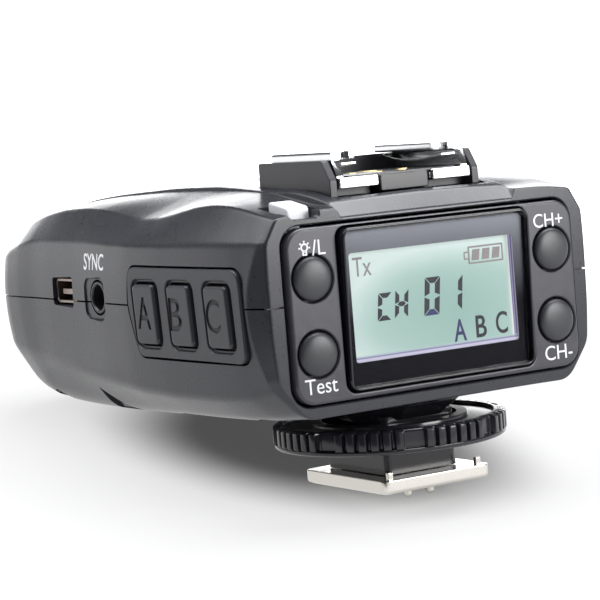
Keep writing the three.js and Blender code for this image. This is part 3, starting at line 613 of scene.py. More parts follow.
def control(y, j):
    xs, zu, zl = pchip(T_SIDE, 1, y), pchip(T_UP_Z, 1, y), pchip(T_LOW_Z, 1, y)
    xb, zb, zk = pchip(T_BOT_X, 1, y), pchip(T_BOT_Z, 1, y), pchip(T_KEEL_Z, 1, y)
    xw, zw, zo, zi = pchip(T_WAVE, 1, y), pchip(T_WAVE, 2, y), pchip(T_OUT_Z, 1, y), pchip(T_PAD_Z, 1, y)
    return [(0, zk), (16, zk + 0.25), (xb, zb), (xs - 0.85, zl), (xs - 0.2, (zl + PARTING_Z) / 2), (xs, PARTING_Z), (xs - 0.15, (zu + PARTING_Z) / 2), (xs - 0.65, zu), (xw, zw), (20.5, (zw + zo) / 2 + 0.25), (15.3, zo), (15.0, zi), (8, zi + 0.25), (0, zi + 0.35)][j]


def controls(ys):
    ys = [ys] * 14 if isinstance(ys, (int, float)) else ys
    out = []
    for j, y in enumerate(ys):
        x, z = control(y, j)
        t = max(0.0, min(0.9995, (y - REAR_START) / (REAR_Y - REAR_START)))
        sx, sz = (1 - t ** 4) ** 0.25, (1 - t ** 6) ** (1 / 6)
        out.append((x * sx, y, 27 + (z - 27) * sz))
    return np.array(out)


def full(c):
    half = W @ c
    back = half[1:-1][::-1] * np.array([-1, 1, 1])
    return np.vstack([half, back])


def skin():
    F = np.array([(x, FRONT_Y, z) for x, z in FRONT_OUT])
    R = controls(FACET_Y)
    centre = np.array([0, FRONT_Y, 27.0])
    I = F + (centre - F) / np.linalg.norm(centre - F, axis=1)[:, None] * 0.45
    d = R - F
    ln = np.linalg.norm(d, axis=1)[:, None]
    S = controls([y + 0.4 for y in FACET_Y])
    b = np.minimum(0.4, 0.32 / ln)
    c = np.minimum(0.4, 0.30 / ln)
    A1, B1, A2 = F + (I - F) * 0.7, F + d * b, R - d * c
    rings = [I]
    for k in range(6):
        t = k / 5
        rings.append((1 - t) ** 2 * A1 + 2 * t * (1 - t) * F + t * t * B1)
    rings.append((B1 + A2) / 2)
    for k in range(5):
        t = k / 4
        rings.append((1 - t) ** 2 * A2 + 2 * t * (1 - t) * R + t * t * S)
    start = np.array([y + 0.4 for y in FACET_Y])
    for k in (0.25, 0.5, 0.75):
        rings.append(controls(list(start + (-8.6 - start) * k)))
    step = 0.8
    y = -8.6
    while y < 58.0:
        rings.append(controls(float(y)))
        y += step
    for y in (58, 59.2, 60.4, 61.6, 62.8):
        rings.append(controls(float(y)))
    for k in range(3, 26):
        ph = math.radians(5.0 + 3.3 * (k - 1.0))
        t = math.sqrt(math.sin(min(ph, math.radians(87.9))))
        yy = REAR_START + (REAR_Y - REAR_START) * t
        if yy > 63.4 and yy < 76.94:
            rings.append(controls(float(yy)))
    rings.append(controls(76.95))
    return loft([full(c) for c in rings], "skin")


def cavity(grow=0.0):
    ys = [-12.2, -8, -2, 4, 10, 13, 18, 23, 30, 38, 46, 54, 60, 65, 69, 72, 73.8, 74.6]
    rings = []
    for y in ys:
        h = [control(y, j) for j in range(14)]
        t = max(0.0, min(0.9995, (y - REAR_START) / (REAR_Y - WALL - REAR_START)))
        sx, sz = (1 - t ** 4) ** 0.25, (1 - t ** 6) ** (1 / 6)
        roof = lambda z: min(z - WALL, 40.4) if y < 12.5 else z - WALL
        half = [(0, h[0][1] + 1.8), (15, h[1][1] + 1.8), (h[2][0] - 1.5, h[2][1] + 2.0), (h[3][0] - 2.1, h[3][1] + 0.9), (h[5][0] - 2.0, PARTING_Z), (h[7][0] - 2.1, h[7][1] - 0.9), (h[8][0] - 1.9, min(h[8][1], h[9][1]) - WALL), (15.2, roof(min(h[10][1], h[11][1]))), (0, roof(h[12][1]))]
        half = [(x * sx, y, 27 + (z - 27) * sz) for x, z in half]
        rings.append(half + [(-x, yy, z) for x, yy, z in half[1:-1][::-1]])
    return loft(rings, "cavity")


PAD = Matrix.Translation((KEYPAD_X, KEYPAD_Y, 0)) @ Matrix.Rotation(KEYPAD_YAW, 4, "Z")
PAD_OUT = fillet([(-16.1, 21.0), (11.9, 21.15), (14.3, 28.6), (13.6, 34.25), (-15.5, 34.05)], [1.7, 1.2, 1.6, 1.6, 1.9], 6)


def key_outline(c, o):
    return [(a + KEY_SKEW * (b - 27.4), b) for a, b in rrect(c - KEY_W / 2 - o, c + KEY_W / 2 + o, KEY_Z0 - o, KEY_Z1 + o, 0.9 + max(o, -0.3), 6)]


def pad_cutter():
    # the opening for the key pad, with a small chamfer where it meets the skin
    o = stack(PAD_OUT, [(0.52, -3.0), (0.52, -0.35), (0.3, -0.05), (0.3, 4.0)], PX)
    return transform(o, PAD)


def jack_cutters():
    seat = stack(rrect(JACK_Y - 3.1, JACK_Y + 4.2, 26.1, 32.2, 1.5), [(0.3, -33), (0.3, -29.95), (0.1, -29.8), (0, -29.6), (0, -29.4)], PX)
    return [seat, rod(2.75, -33, -25, "x", (0, JACK_Y, JACK_Z))]


def usb_cutter():
    return stack(rrect(USB_Y - 3.7, USB_Y + 3.7, 27.75, 32.05, 0.4, 4), [(0.3, -33), (0.3, -29.35), (0, -28.95), (0, -24)], PX)


def flank_notch(side):
    along, up = Vector((0, 1, 0)), Vector((side * 0.608, 0, 0.794))
    out = along.cross(up)
    tri = fillet([(32.2, -0.6), (39.9, -0.6), (39.9, 4.7)], [0.3, 0.5, 0.3])
    d0 = -0.9 if side > 0 else -3.1
    o = slab(tri, d0, d0 + 4, lambda a, b, d: tuple(along * a + up * b + out * d + Vector((side * 24.0, 0, 11.25))))
    return o


body = skin()
cav = cavity()
panel_open = stack(rrect(-PANEL["hw"] - GAP, PANEL["hw"] + GAP, PANEL["z0"] - GAP, PANEL["z1"] + GAP, PANEL["r"], 8), [(0.28, -16), (0.28, -14.26), (0.08, -14.1), (0, -13.8), (0, -11)], PY)
front_box = slab(rrect(-24.6, 24.6, 14.6, 39.3, 2.8, 6), -12.4, -11, PY)
top = copy(body)
cut(top, copy(cav), copy(panel_open))
bottom = copy(top)
meet(top, box(-40, 40, -20, 80, PARTING_Z + 0.12, 60))
meet(bottom, box(-40, 40, -20, 80, 0, PARTING_Z - 0.12))
posts = [meet(rod(2.7, PARTING_Z + 0.3, 41.6, "z", (x, y, 0)), copy(body)) for x, y in SCREWS]
join(top, *posts)
cut(top, *[rod(1.3, PARTING_Z - 1, 37.5, "z", (x, y, 0), 20) for x, y in SCREWS])
cut(top, pad_cutter(), *jack_cutters(), usb_cutter())
pocket = stack(rrect(-13.15, 13.15, -11, 10.25, 0.5, 4), [(0, 42.4), (0, 50)], PZ)
cut(top, pocket, box(-4.6, 4.6, -8.6, 8.6, 39, 43), copy(front_box))
notch = stack(fillet([(-22.4, 40.25), (-18.1, 40.25), (-18.1, 46), (-27, 46), (-23.4, 41.3)], [0.35, 0.5, 0, 0, 0.25], 4), [(0.15, -16), (0.15, -14.25), (0, -14.0), (0, -12.0)], PY)
knob_slot = stack(fillet([(-23.5, -12.3), (-23.5, -6.8), (-16.4, -6.8), (-16.4, -12.3)], [0.5, 0.6, 0.6, 0.5], 5), [(0, 38.2), (0, 46)], PZ)
cut(top, notch, knob_slot)
piece(top, "top_case_shell", M["case"], "housing", ["top_case"], 32)

cut(bottom, pad_cutter(), *jack_cutters(), usb_cutter())
bay = box(-BAY["hw"] - 1.2, BAY["hw"] + 1.2, BAY["y0"] - 1.2, BAY["y1"] + 1.2, 11.2, BAY["z1"] + 1.2)
meet(bay, join(copy(cav), meet(box(-20, 20, 17, 75, 11, 14), copy(body))))
join(bottom, bay, *[meet(rod(3.1, 11.5, PARTING_Z - 0.3, "z", (x, y, 0)), copy(body)) for x, y in SCREWS])
join(bottom, box(24.6, 27.15, -13.4, -12.8, PARTING_Z - 0.5, PARTING_Z + 0.1), box(-27.15, -24.6, -13.4, -12.8, PARTING_Z - 0.5, PARTING_Z + 0.1))
cut(bottom, box(-BAY["hw"], BAY["hw"], BAY["y0"], BAY["y1"], 8, BAY["z1"]), box(-17.5, 17.5, BAY["y0"] - 0.5, 80, 0, 12.3), box(-5.3, 5.3, -6.3, 6.3, 8, 18), copy(front_box))
cut(bottom, *[rod(1.3, 8, 30, "z", (x, y, 0), 20) for x, y in SCREWS], *[lathe([(2.8, 5), (2.8, 12.2), (2.5, 12.6), (2.5, 20)], 32, "z", (x, y, 0)) for x, y in SCREWS])
cut(bottom, flank_notch(-1), flank_notch(1))
piece(bottom, "bottom_case_shell", M["case"], "housing", ["bottom_case"], 32)

door = meet(copy(body), box(-17.2, 17.2, BAY["y0"] - 0.2, 80, 0, 12.0))
cut(door, *[slab(rrect(-9, 9, 56 + i * 2.2, 57 + i * 2.2, 0.45, 4), 0, 9.95 - i * 0.06, PZ) for i in range(5)])
piece(door, "battery_door_shell", M["case"], "door_body", ["battery_door"], 32)
drop(body)
drop(cav)
drop(panel_open)
drop(front_box)

# ------------------------------------------------------------------ front panel
P = PANEL
panel = slab(rrect(-P["hw"], P["hw"], P["z0"], P["z1"], P["r"], 10), P["front"], P["front"] + P["t"], PY, 0.45, 0.1, 6)
hole = stack(rrect(-BEZEL["hw"] - GAP, BEZEL["hw"] + GAP, BEZEL["z0"] - GAP, BEZEL["z1"] + 0.25, BEZEL["r"], 8), [(0.3, -17), (0.3, -15.11), (0.1, -15.02), (0, -14.8), (0, -11)], PY)
cut(panel, hole, *[lathe([(BUTTON_HOLE_R + 0.2, -17), (BUTTON_HOLE_R + 0.2, -15.12), (BUTTON_HOLE_R, -14.92), (BUTTON_HOLE_R, -11)], 64, "y", (x, 0, z)) for x, z in BUTTONS.values()])
piece(panel, "front_panel_plate", M["panel"], "housing", ["front_panel"], 32)

for name, (x, z) in BUTTONS.items():
    prof = [(0, -0.75)] + [(BUTTON_R * math.sin(a), -0.75 + 0.62 * (1 - math.cos(a))) for a in [math.pi / 2 * k / 10 for k in range(1, 9)]]
    prof = [(0, -0.75), (0.8, -0.735), (1.6, -0.67), (2.2, -0.56), (2.6, -0.43), (2.85, -0.27), (3.0, -0.08), (BUTTON_R, 0.12), (BUTTON_R, 2.3), (3.9, 2.3), (3.9, 2.9), (1.2, 2.9), (1.2, 3.35), (0, 3.35)]
    piece(lathe(prof, 72, "y", (x, P["front"], z)), name + "_cap", M["rubber"], name + "_body", [name], 34)

TILT = Matrix.Translation((0, BEZEL["front"], LCD_Z)) @ Matrix.Rotation(LEAN, 4, "X")
bz = slab(rrect(-BEZEL["hw"], BEZEL["hw"], BEZEL["z0"] - LCD_Z, BEZEL["z1"] - LCD_Z, BEZEL["r"], 8), -0.15, BEZEL["t"] - 0.35, PY, 0.3, 0, 5)
cut(bz, stack(rrect(-GLASS["hw"] - 0.15, GLASS["hw"] + 0.15, GLASS["z0"] - 0.15 - LCD_Z, GLASS["z1"] + 0.15 - LCD_Z, 1.0), [(0.15, -2), (0.15, -0.16), (0, 0.02), (0, GLASS["t"] + 0.1)], PY), box(-14.5, 14.5, -2, 5, 17.2 - LCD_Z, 37.0 - LCD_Z))
piece(transform(bz, TILT), "lcd_bezel_frame", M["bezel"], "housing", ["lcd_bezel"], 32)
win = slab(rrect(-GLASS["hw"], GLASS["hw"], GLASS["z0"] - LCD_Z, GLASS["z1"] - LCD_Z, 0.9), 0, GLASS["t"], PY, 0.08, 0, 3)
piece(transform(win, TILT), "lcd_window_pane", M["window"], "housing", ["lcd_window"], 32)
# the printed border behind the window, with a painted reflection that turns it grey towards its top
mask = slab(rrect(-GLASS["hw"] + 0.05, GLASS["hw"] - 0.05, GLASS["z0"] + 0.05 - LCD_Z, GLASS["z1"] - 0.05 - LCD_Z, 0.85, 6), 0.92, 0.97, PY)
cut(mask, slab(fillet([(-14.238, -7.594), (13.832, -7.594), (13.491, 7.681), (-14.532, 7.681)], [0.45, 0.45, 0.45, 0.45], 5), 0, 2, PY))
piece(transform(mask, TILT), "lcd_border", M["mask"], "housing", ())


# ------------------------------------------------------------------ lettering and display figures, all generic
def letters(text, a0, a1, b0, b1, place, d0, d1, thick=0.0, space=1.0):
    cu = bpy.data.curves.new("t", "FONT")
    cu.body = text
    cu.extrude = 0.5
    cu.offset = thick
    cu.resolution_u = 5
    cu.space_character = space
    ob = bpy.data.objects.new("t", cu)
    scene.collection.objects.link(ob)
    me = evaluated(ob)
    bpy.data.objects.remove(ob)
    co = np.array([v.co for v in me.vertices])
    lo, hi = co.min(0), co.max(0)
    out = []
    for x, y, z in co:
        a = a0 + (x - lo[0]) / (hi[0] - lo[0]) * (a1 - a0)
        b = b0 + (y - lo[1]) / (hi[1] - lo[1]) * (b1 - b0)
        d = d0 if z > 0 else d1
        out.append(place(a, b, d))
    faces = [tuple(p.vertices) for p in me.polygons]
    bpy.data.meshes.remove(me)
    o = raw("t", out, faces)
    bm = bmesh.new()
    bm.from_mesh(o.data)
    bmesh.ops.remove_doubles(bm, verts=bm.verts, dist=0.004)
    bmesh.ops.recalc_face_normals(bm, faces=bm.faces)
    bm.to_mesh(o.data)
    bm.free()
    return o


FACE = -15.1
label = merge([letters("Test", -23.09, -17.85, 16.30, 18.42, PY, FACE - 0.03, FACE + 0.05, 0.0), ], "l1")
piece(label, "label_test", M["print"], "housing", sharp=20, weighted=False)
piece(letters("CH+", 17.56, 22.83, 35.32, 37.30, PY, FACE - 0.03, FACE + 0.05, 0.0), "label_channel_up", M["print"], "housing", sharp=20, weighted=False)
piece(letters("CH-", 17.99, 22.93, 15.95, 18.06, PY, FACE - 0.03, FACE + 0.05, 0.0), "label_channel_down", M["print"], "housing", sharp=20, weighted=False)


def poly(pts, d0=FACE - 0.03, d1=FACE + 0.05, place=PY):
    return slab(pts, d0, d1, place)


def bar(x0, z0, x1, z1, w):
    d = np.array([x1 - x0, z1 - z0])
    d = d / np.linalg.norm(d)
    n = np.array([-d[1], d[0]]) * w / 2
    a, b = np.array([x0, z0]), np.array([x1, z1])
    return [tuple(a - n), tuple(b - n), tuple(b + n), tuple(a + n)]


bulb = cut(poly(disc(-21.48, 36.42, 0.60, 40)), poly(disc(-21.48, 36.42, 0.37, 40), -16, -14))
parts = [bulb]
base = cut(poly(rrect(-21.86, -21.10, 35.32, 35.92, 0.06, 2)), poly(rrect(-21.62, -21.34, 35.50, 35.74, 0.05, 2), -16, -14))
parts.append(base)
for ang in (90, 40, 140, -5, 185):
    c, s = math.cos(math.radians(ang)), math.sin(math.radians(ang))
    parts.append(poly(bar(-21.48 + 0.68 * c, 36.42 + 0.68 * s, -21.48 + 0.93 * c, 36.42 + 0.93 * s, 0.24)))
parts.append(poly(bar(-20.17, 35.22, -19.68, 37.34, 0.22)))
parts.append(poly([(-19.28, 37.3), (-19.28, 35.25), (-18.11, 35.25), (-18.11, 35.5), (-19.02, 35.5), (-19.02, 37.3)][::-1]))
piece(merge(parts, "lamp"), "label_backlight", M["print"], "housing", sharp=20, weighted=False)

# SYNC, on the flank above the jack
side_x = lambda y, z: -float(np.interp(z, [28.6, (37.6 + 28.6) / 2, 37.6], [pchip(T_SIDE, 1, y), pchip(T_SIDE, 1, y) - 0.15, pchip(T_SIDE, 1, y) - 0.65]))
sync = letters("SYNC", 0, 7.5, 33.5, 36.0, lambda a, b, d: (side_x(36.0 - a, b) + d, 36.0 - a, b), -0.03, 0.2, 0.01)
piece(sync, "label_sync", M["print"], "housing", sharp=20, weighted=False)


def seg7(x0, x1, z0, z1, t, which, slant=0.11):
    zm = (z0 + z1) / 2
    g = 0.09
    h = t / 2
    S = {
        "a": [(x0 + g, z1), (x1 - g, z1), (x1 - t - g, z1 - t), (x0 + t + g, z1 - t)],
        "d": [(x0 + g, z0), (x0 + t + g, z0 + t), (x1 - t - g, z0 + t), (x1 - g, z0)],
        "g": [(x0 + t * 0.6, zm), (x0 + t * 1.2, zm + h), (x1 - t * 1.2, zm + h), (x1 - t * 0.6, zm), (x1 - t * 1.2, zm - h), (x0 + t * 1.2, zm - h)],
        "f": [(x0, z1 - g), (x0 + t, z1 - t - g), (x0 + t, zm + h), (x0, zm + g)],
        "e": [(x0, z0 + g), (x0, zm - g), (x0 + t, zm - h), (x0 + t, z0 + t + g)],
        "b": [(x1, z1 - g), (x1, zm + g), (x1 - t, zm + h), (x1 - t, z1 - t - g)],
        "c": [(x1, z0 + g), (x1 - t, z0 + t + g), (x1 - t, zm - h), (x1, zm - g)],
    }
    return [[(x + (z - z0) * slant - (z1 - z0) * slant / 2, z) for x, z in S[k]] for k in which]


LCDF = -14.30
figs, navy = [], []
for pts in seg7(-9.75, -7.45, 24.95, 28.8, 0.70, "adef") + seg7(-6.85, -4.65, 25.0, 28.95, 0.66, "bcefg") + seg7(-1.80, 0.80, 24.8, 30.15, 0.84, "abcef") + seg7(3.0, 4.72, 25.0, 30.0, 0.74, "bc"):
    figs.append(slab(pts, LCDF, LCDF + 0.03, PY))
navy.append(slab(seg7(-1.80, 0.80, 24.8, 30.15, 0.84, "d")[0], LCDF, LCDF + 0.03, PY))
navy.append(letters("A", 2.80, 4.95, 20.55, 23.72, PY, LCDF, LCDF + 0.03, 0.012))
figs.append(letters("B", 6.65, 8.50, 20.70, 23.85, PY, LCDF, LCDF + 0.03, 0.012))
figs.append(letters("C", 10.2, 12.25, 20.80, 24.0, PY, LCDF, LCDF + 0.03, 0.012))
piece(merge(figs, "figures"), "lcd_figures", M["segment"], "housing", sharp=20, weighted=False)
piece(merge(navy, "navy"), "lcd_figures_blue", M["segment_blue"], "housing", sharp=20, weighted=False)
faint = [letters("Tx", -13.42, -10.36, 31.5, 34.18, PY, LCDF, LCDF + 0.03)]
faint.append(cut(slab(rrect(6.2, 12.35, 31.25, 33.8, 0.12, 2), LCDF, LCDF + 0.03, PY), slab(rrect(6.45, 12.1, 31.5, 33.55, 0.08, 2), LCDF - 1, LCDF + 1, PY)))
faint.append(cut(slab(rrect(5.45, 6.15, 31.95, 33.1, 0.1, 2), LCDF, LCDF + 0.03, PY), slab(rrect(5.65, 6.5, 32.15, 32.9, 0.05, 2), LCDF - 1, LCDF + 1, PY)))
for i in range(3):
    x = 6.75 + i * 1.78
    faint.append(slab([(x, 31.75), (x + 1.28, 31.75), (x + 1.55, 33.3), (x + 0.27, 33.3)], LCDF, LCDF + 0.03, PY))
piece(merge(faint, "faint"), "lcd_icons", M["segment_faint"], "housing", sharp=20, weighted=False)

# ------------------------------------------------------------------ key pad
kf = slab(PAD_OUT, 0.1, 1.7, PX, 0.22, 0, 4)
for c in KEYS.values():
    cut(kf, stack(key_outline(c, 0.62), [(0.16, -3), (0.16, 0.09), (0.06, 0.16), (0, 0.3), (0, 0.6)], PX), stack(key_outline(c, GAP), [(0, -3), (0, 5)], PX))
piece(transform(kf, PAD), "keypad_frame_plate", M["keys"], "housing", ["keypad_frame"], 32)
mark_y = {"key_a": ("A", 10.95, 7.35), "key_b": ("B", 2.2, -1.15), "key_c": ("C", -7.5, -11.1)}
for name, c in KEYS.items():
    cap = stack(key_outline(c, -0.05), [(-0.6, -0.3), (-0.34, -0.28), (-0.16, -0.2), (-0.04, -0.06), (0, 0.12), (0, 2.05), (0.65, 2.05), (0.65, 2.5)], PX)
    ch, ya, yb = mark_y[name]
    la, lb = ya, yb
    txt = letters(ch, la, lb, 25.25, 29.95, PX, -0.9, -0.08, 0.008)
    cut(cap, txt)
    piece(transform(cap, PAD), name + "_cap", M["keys"], name + "_body", [name], 32)
    # a darker sheet at the bottom of each debossed letter: painted shade in the recess
    letter_shade = letters(ch, la + 0.02, lb - 0.02, 25.23, 29.97, PX, -0.10, -0.05, 0.010)
    piece(transform(letter_shade, PAD), name + "_mark", M["mark"], name + "_body", sharp=20, weighted=False)

# ------------------------------------------------------------------ sockets
jk = join(lathe([(2.2, -29.5), (2.36, -29.46), (2.45, -29.36), (2.45, -26.9)], 56, "x", (0, JACK_Y, JACK_Z)), box(-27.2, -18.5, JACK_Y - 2.9, JACK_Y + 2.9, 26.0, 32.1))
cut(jk, lathe([(JACK_R + 0.15, -30), (JACK_R + 0.15, -29.49), (JACK_R, -29.3), (JACK_R, -20)], 48, "x", (0, JACK_Y, JACK_Z)))
piece(jk, "sync_jack_body", M["black"], "housing", ["sync_jack"], 32)
us = slab(rrect(USB_Y - 3.3, USB_Y + 3.3, 28.1, 31.8, 0.5, 5), -28.4, -21.5, PX)
cut(us, slab(rrect(USB_Y - 2.95, USB_Y + 2.95, 28.45, 31.45, 0.3, 4), -31, -22.1, PX))
join(us, box(-28.0, -21.9, USB_Y - 2.0, USB_Y + 2.0, 29.4, 30.2))
piece(us, "usb_socket_shell", M["shell"], "housing", ["usb_socket"], 32)

# ------------------------------------------------------------------ power knob
kn = slab(fillet([(-12.0, 39.3), (-7.1, 39.3), (-7.1, 42.78), (-12.0, 41.86)], [0.1, 0.1, 0.7, 0.6], 6), -21.9, -18.3, PX, 0.3, 0.3, 5)
join(kn, box(-21.0, -19.2, -10.6, -9.2, 38.0, 39.6))
piece(kn, "power_knob_cap", M["knob"], "power_knob_body", ["power_knob"], 32)

# ------------------------------------------------------------------ accessory shoe
SH_OUT, SH_T, SH_Y0, SH_Y1, SH_FLOOR, SH_TOP = 12.8, 1.2, -9.2, 9.9, 42.5, 47.65
side_pts = fillet([(SH_Y0, SH_FLOOR), (SH_Y1, SH_FLOOR), (SH_Y1, SH_TOP), (-7.35, SH_TOP), (SH_Y0, 44.85)], [0, 0, 0.25, 0.3, 0.3], 4)
br = join(slab(side_pts, -SH_OUT, -SH_OUT + SH_T, PX, 0.12, 0.12, 3), slab(side_pts, SH_OUT - SH_T, SH_OUT, PX, 0.12, 0.12, 3), box(-SH_OUT + 0.1, SH_OUT - 0.1, 8.75, SH_Y1, SH_FLOOR, 47.55), box(-SH_OUT + 0.1, SH_OUT - 0.1, -6.9, SH_Y1, SH_FLOOR, 43.5))
cut(br, box(-4.7, 4.7, -10, 8.4, 42, 44))
piece(br, "shoe_bracket_wall", M["bracket"], "housing", ["shoe_bracket"], 32)
RO, RI, LIP = 11.3, 10.1, 6.7
prof = fillet([(-RO, 43.8), (-RI, 43.8), (-RI, 47.7), (-LIP, 47.7), (-LIP, 48.8), (-RO, 48.8)], [0.05, 0.05, 0.45, 0.3, 0.3, 0.4], 6)
right = [(-x, z) for x, z in prof][::-1]
rail = join(slab(prof, -8.7, 8.5, PY, 0.12, 0.12, 3), slab(right, -8.7, 8.5, PY, 0.12, 0.12, 3), box(-RO + 0.05, RO - 0.05, -8.7, 8.5, 43.8, 44.6))
join(rail, rbox(4.6, RO, -9.35, -8.5, 43.6, 45.1, 0.15, 0.3), rbox(-RO, -4.6, -9.35, -8.5, 43.6, 45.1, 0.15, 0.3))
for s in (1, -1):
    pts = [(5, -10), (8.6, -10), (8.2, -8.9), (7.3, -7.4), (6.75, -6.3), (5, -6.3)] if s > 0 else [(-5, -10), (-5, -6.3), (-6.75, -6.3), (-7.3, -7.4), (-8.2, -8.9), (-8.6, -10)]
    cut(rail, slab(pts, 46.5, 50, PZ))
cut(rail, slab([(-12, 45.3), (-8.75, 45.3), (-7.6, 47.6), (-7.6, 49.6), (-12, 49.6)], -RO - 1, -9.0, PX), slab([(-12, 45.3), (-8.75, 45.3), (-7.6, 47.6), (-7.6, 49.6), (-12, 49.6)], 9.0, RO + 1, PX), box(-4.45, 4.45, -10, 7.2, 43, 46))
piece(rail, "shoe_rail_plate", M["chrome"], "housing", ["shoe_rail"], 32)
ins = join(rbox(-4.2, 4.2, -8.9, 6.9, 42.7, 45.0, 0.15, 0.3), rbox(-9.4, 9.4, -8.4, 6.9, 44.8, 45.3, 0.12, 0.4))
piece(ins, "shoe_insert_block", M["black"], "housing", ["shoe_insert"], 32)
for name, x, y, r in (("shoe_contact_main", 0, 0, 1.6), ("shoe_contact_1", -2.1, -5.4, 0.9), ("shoe_contact_2", 2.1, -5.4, 0.9), ("shoe_contact_3", -4.4, -2.2, 0.9), ("shoe_contact_4", 4.4, -2.2, 0.9)):
    piece(lathe([(0, 45.32), (r - 0.05, 45.32), (r, 45.35), (r - 0.02, 45.38), (r - 0.1, 45.42), (0, 45.42)], 48, "z", (x, y, 0)), name + "_disc", M["gold"], "housing", [name], 34)
for name, s in (("shoe_spring_left", -1), ("shoe_spring_right", 1)):
    base_pts = [(-7.9, 46.9), (-5, 46.55), (0, 46.2), (4, 46.5), (7.6, 47.2)]
    ys = np.linspace(-7.9, 7.6, 33)
    zs = [pchip([list(p) for p in base_pts], 1, float(y)) for y in ys]
    outline = [(y, z) for y, z in zip(ys, zs)] + [(y, z + 0.28) for y, z in zip(ys[::-1], zs[::-1])]
    x0, x1 = (-9.8, -7.4) if s < 0 else (7.4, 9.8)
    piece(slab(outline, x0, x1, PX), name + "_leaf", M["chrome"], "housing", [name], 32)

# ------------------------------------------------------------------ locking foot
hw, y0, y1, rr = 6.25, -7.85, 7.83, 9.6
ring = []
for i in range(240):
    a = 2 * math.pi * i / 240
    c, s = math.cos(a), math.sin(a)
    t = min(rr, hw / abs(c) if abs(c) > 1e-6 else 99, (y1 / s if s > 0 else y0 / s) if abs(s) > 1e-6 else 99)
    ring.append((t * c, t * s))
stem = slab(ring, 2.1, 10.4, PZ)
rings = []
for ap, z in ((8.2, 9.85), (8.35, 9.9), (8.6, 10.1), (10.7, 11.85), (10.9, 12.05)):
    rings.append([(ap / math.cos(math.pi / 8) * math.cos(math.pi / 8 + k * math.pi / 4), ap / math.cos(math.pi / 8) * math.sin(math.pi / 8 + k * math.pi / 4), z) for k in range(8)])
join(stem, loft(rings), box(-5.0, 5.0, -6.0, 6.0, 10, 17.2))
cut(stem, *[rod(r + 0.25, 0, 9.2, "z", (x, y, 0), 32) for x, y, r, tip in PINS.values()])
piece(stem, "foot_stem_column", M["gloss"], "housing", ["foot_stem"], 25)
plate = slab(rrect(-9.3, 9.3, -11.62, 9.69, 1.1, 8), 0, 2.0, PZ, 0.6, 0.15, 5)
join(plate, rbox(-8.1, -7.2, -10.95, -10.3, 1.5, 3.05, 0.1, 0.12), rbox(7.2, 8.1, -10.95, -10.3, 1.5, 3.05, 0.1, 0.12))
cut(plate, *[rod(r + 0.25, -1, 4, "z", (x, y, 0), 32) for x, y, r, tip in PINS.values()], rod(0.9, -1, 4, "z", (7.9, 3.0, 0), 32))
piece(plate, "foot_plate_slab", M["nickel"], "housing", ["foot_plate"], 32)
for name, (x, y, r, tip) in PINS.items():
    prof = [(0, tip), (r * 0.35, tip + 0.03), (r * 0.65, tip + 0.14), (r * 0.88, tip + 0.3), (r, tip + 0.55), (r, tip + 6.4), (0, tip + 6.4)]
    piece(lathe(prof, 32, "z", (x, y, 0)), name + "_pin", M["pin"], name + "_body", [name], 34)
lp = [(0, 0.6), (0.4, 0.7), (0.65, 1.0), (0.65, 5.48), (0, 5.48)]
piece(lathe(lp, 28, "z", (7.9, 3.0, 0)), "lock_pin_rod", M["steel"], "clamp_body", ["lock_pin"], 34)


def wheel():
    n = 1440
    th = np.arange(n) * 360.0 / n
    r = np.zeros(n)
    for i, t in enumerate(th):
        u = (t - 1.0 + 22.5) % 45.0 - 22.5
        if u < -18.3 or u > 18.3:
            r[i] = 16.25
            continue
        k = min(5, max(0, round((u + 15) / 6)))
        d = abs(u - (-15 + 6 * k))
        s = np.clip((2.45 - d) / 0.8, 0, 1)
        r[i] = 16.35 + 0.80 * (s * s * (3 - 2 * s)) - 0.05 * (d / 2.4) ** 2
        edge = min(1.0, (18.3 - abs(u)) / 0.4)
        r[i] = 16.25 + (r[i] - 16.25) * edge
    c, s = np.cos(np.radians(th)), np.sin(np.radians(th))
    mk = lambda rad, z: [(float(a * q), float(b * q), z) for a, b, q in zip(c, s, np.broadcast_to(rad, (n,)))]
    rings = [mk(9.95, 6.0), mk(16.4, 6.0), mk(16.7, 6.06), mk(16.9, 6.2), mk(16.98, 6.4), mk(16.95, 6.62), mk(16.85, 6.72), mk(r - 0.02, 6.82), mk(r, 7.0), mk(r, 9.0), mk(r - 0.05, 9.2), mk(np.minimum(r - 0.2, 16.75), 9.38), mk(np.minimum(r - 0.4, 16.3), 9.48), mk(15.75, 9.5), mk(15.5, 9.5), mk(15.38, 9.4), mk(15.3, 9.05), mk(11.7, 9.05), mk(11.62, 9.4), mk(11.5, 9.5), mk(9.95, 9.5)]
    return loft(rings, loop=True)


piece(wheel(), "lock_wheel_ring", M["gloss"], "wheel_body", ["lock_wheel"], 34)

# ------------------------------------------------------------------ CAD nodes carried over
KEEP = {
    "lcd_module": "lcd", "lcd_backlight": "diffuser", "ui_pcb": "pcb", "key_pcb": "pcb", "main_pcb": "pcb", "power_switch": "steel",
    "switch_backlight": "steel", "switch_test": "steel", "switch_channel_up": "steel", "switch_channel_down": "steel", "pressure_washer": "steel",
    "battery_cell_1": "cell", "battery_cell_2": "cell", "battery_contact_front": "nickel", "battery_contact_rear_1": "nickel", "battery_contact_rear_2": "nickel",
    "case_screw_1": "steel", "case_screw_2": "steel", "case_screw_3": "steel", "case_screw_4": "steel", "antenna_coil": "gold",
}
for node, key in KEEP.items():
    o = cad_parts[node]
    o.data.materials.clear()
    o.data.materials.append(M[key])

# ------------------------------------------------------------------ floor, light, camera
# emission levels for the floor's painted shadow under the body and its painted light around and behind it
FLOOR = dict(cx=0.005, cy=0.030, rx=0.028, ry=0.042, r0=0.55, r1=1.20, base=0.07, near=0.62, far=0.42, back=1.7, albedo=0.15)


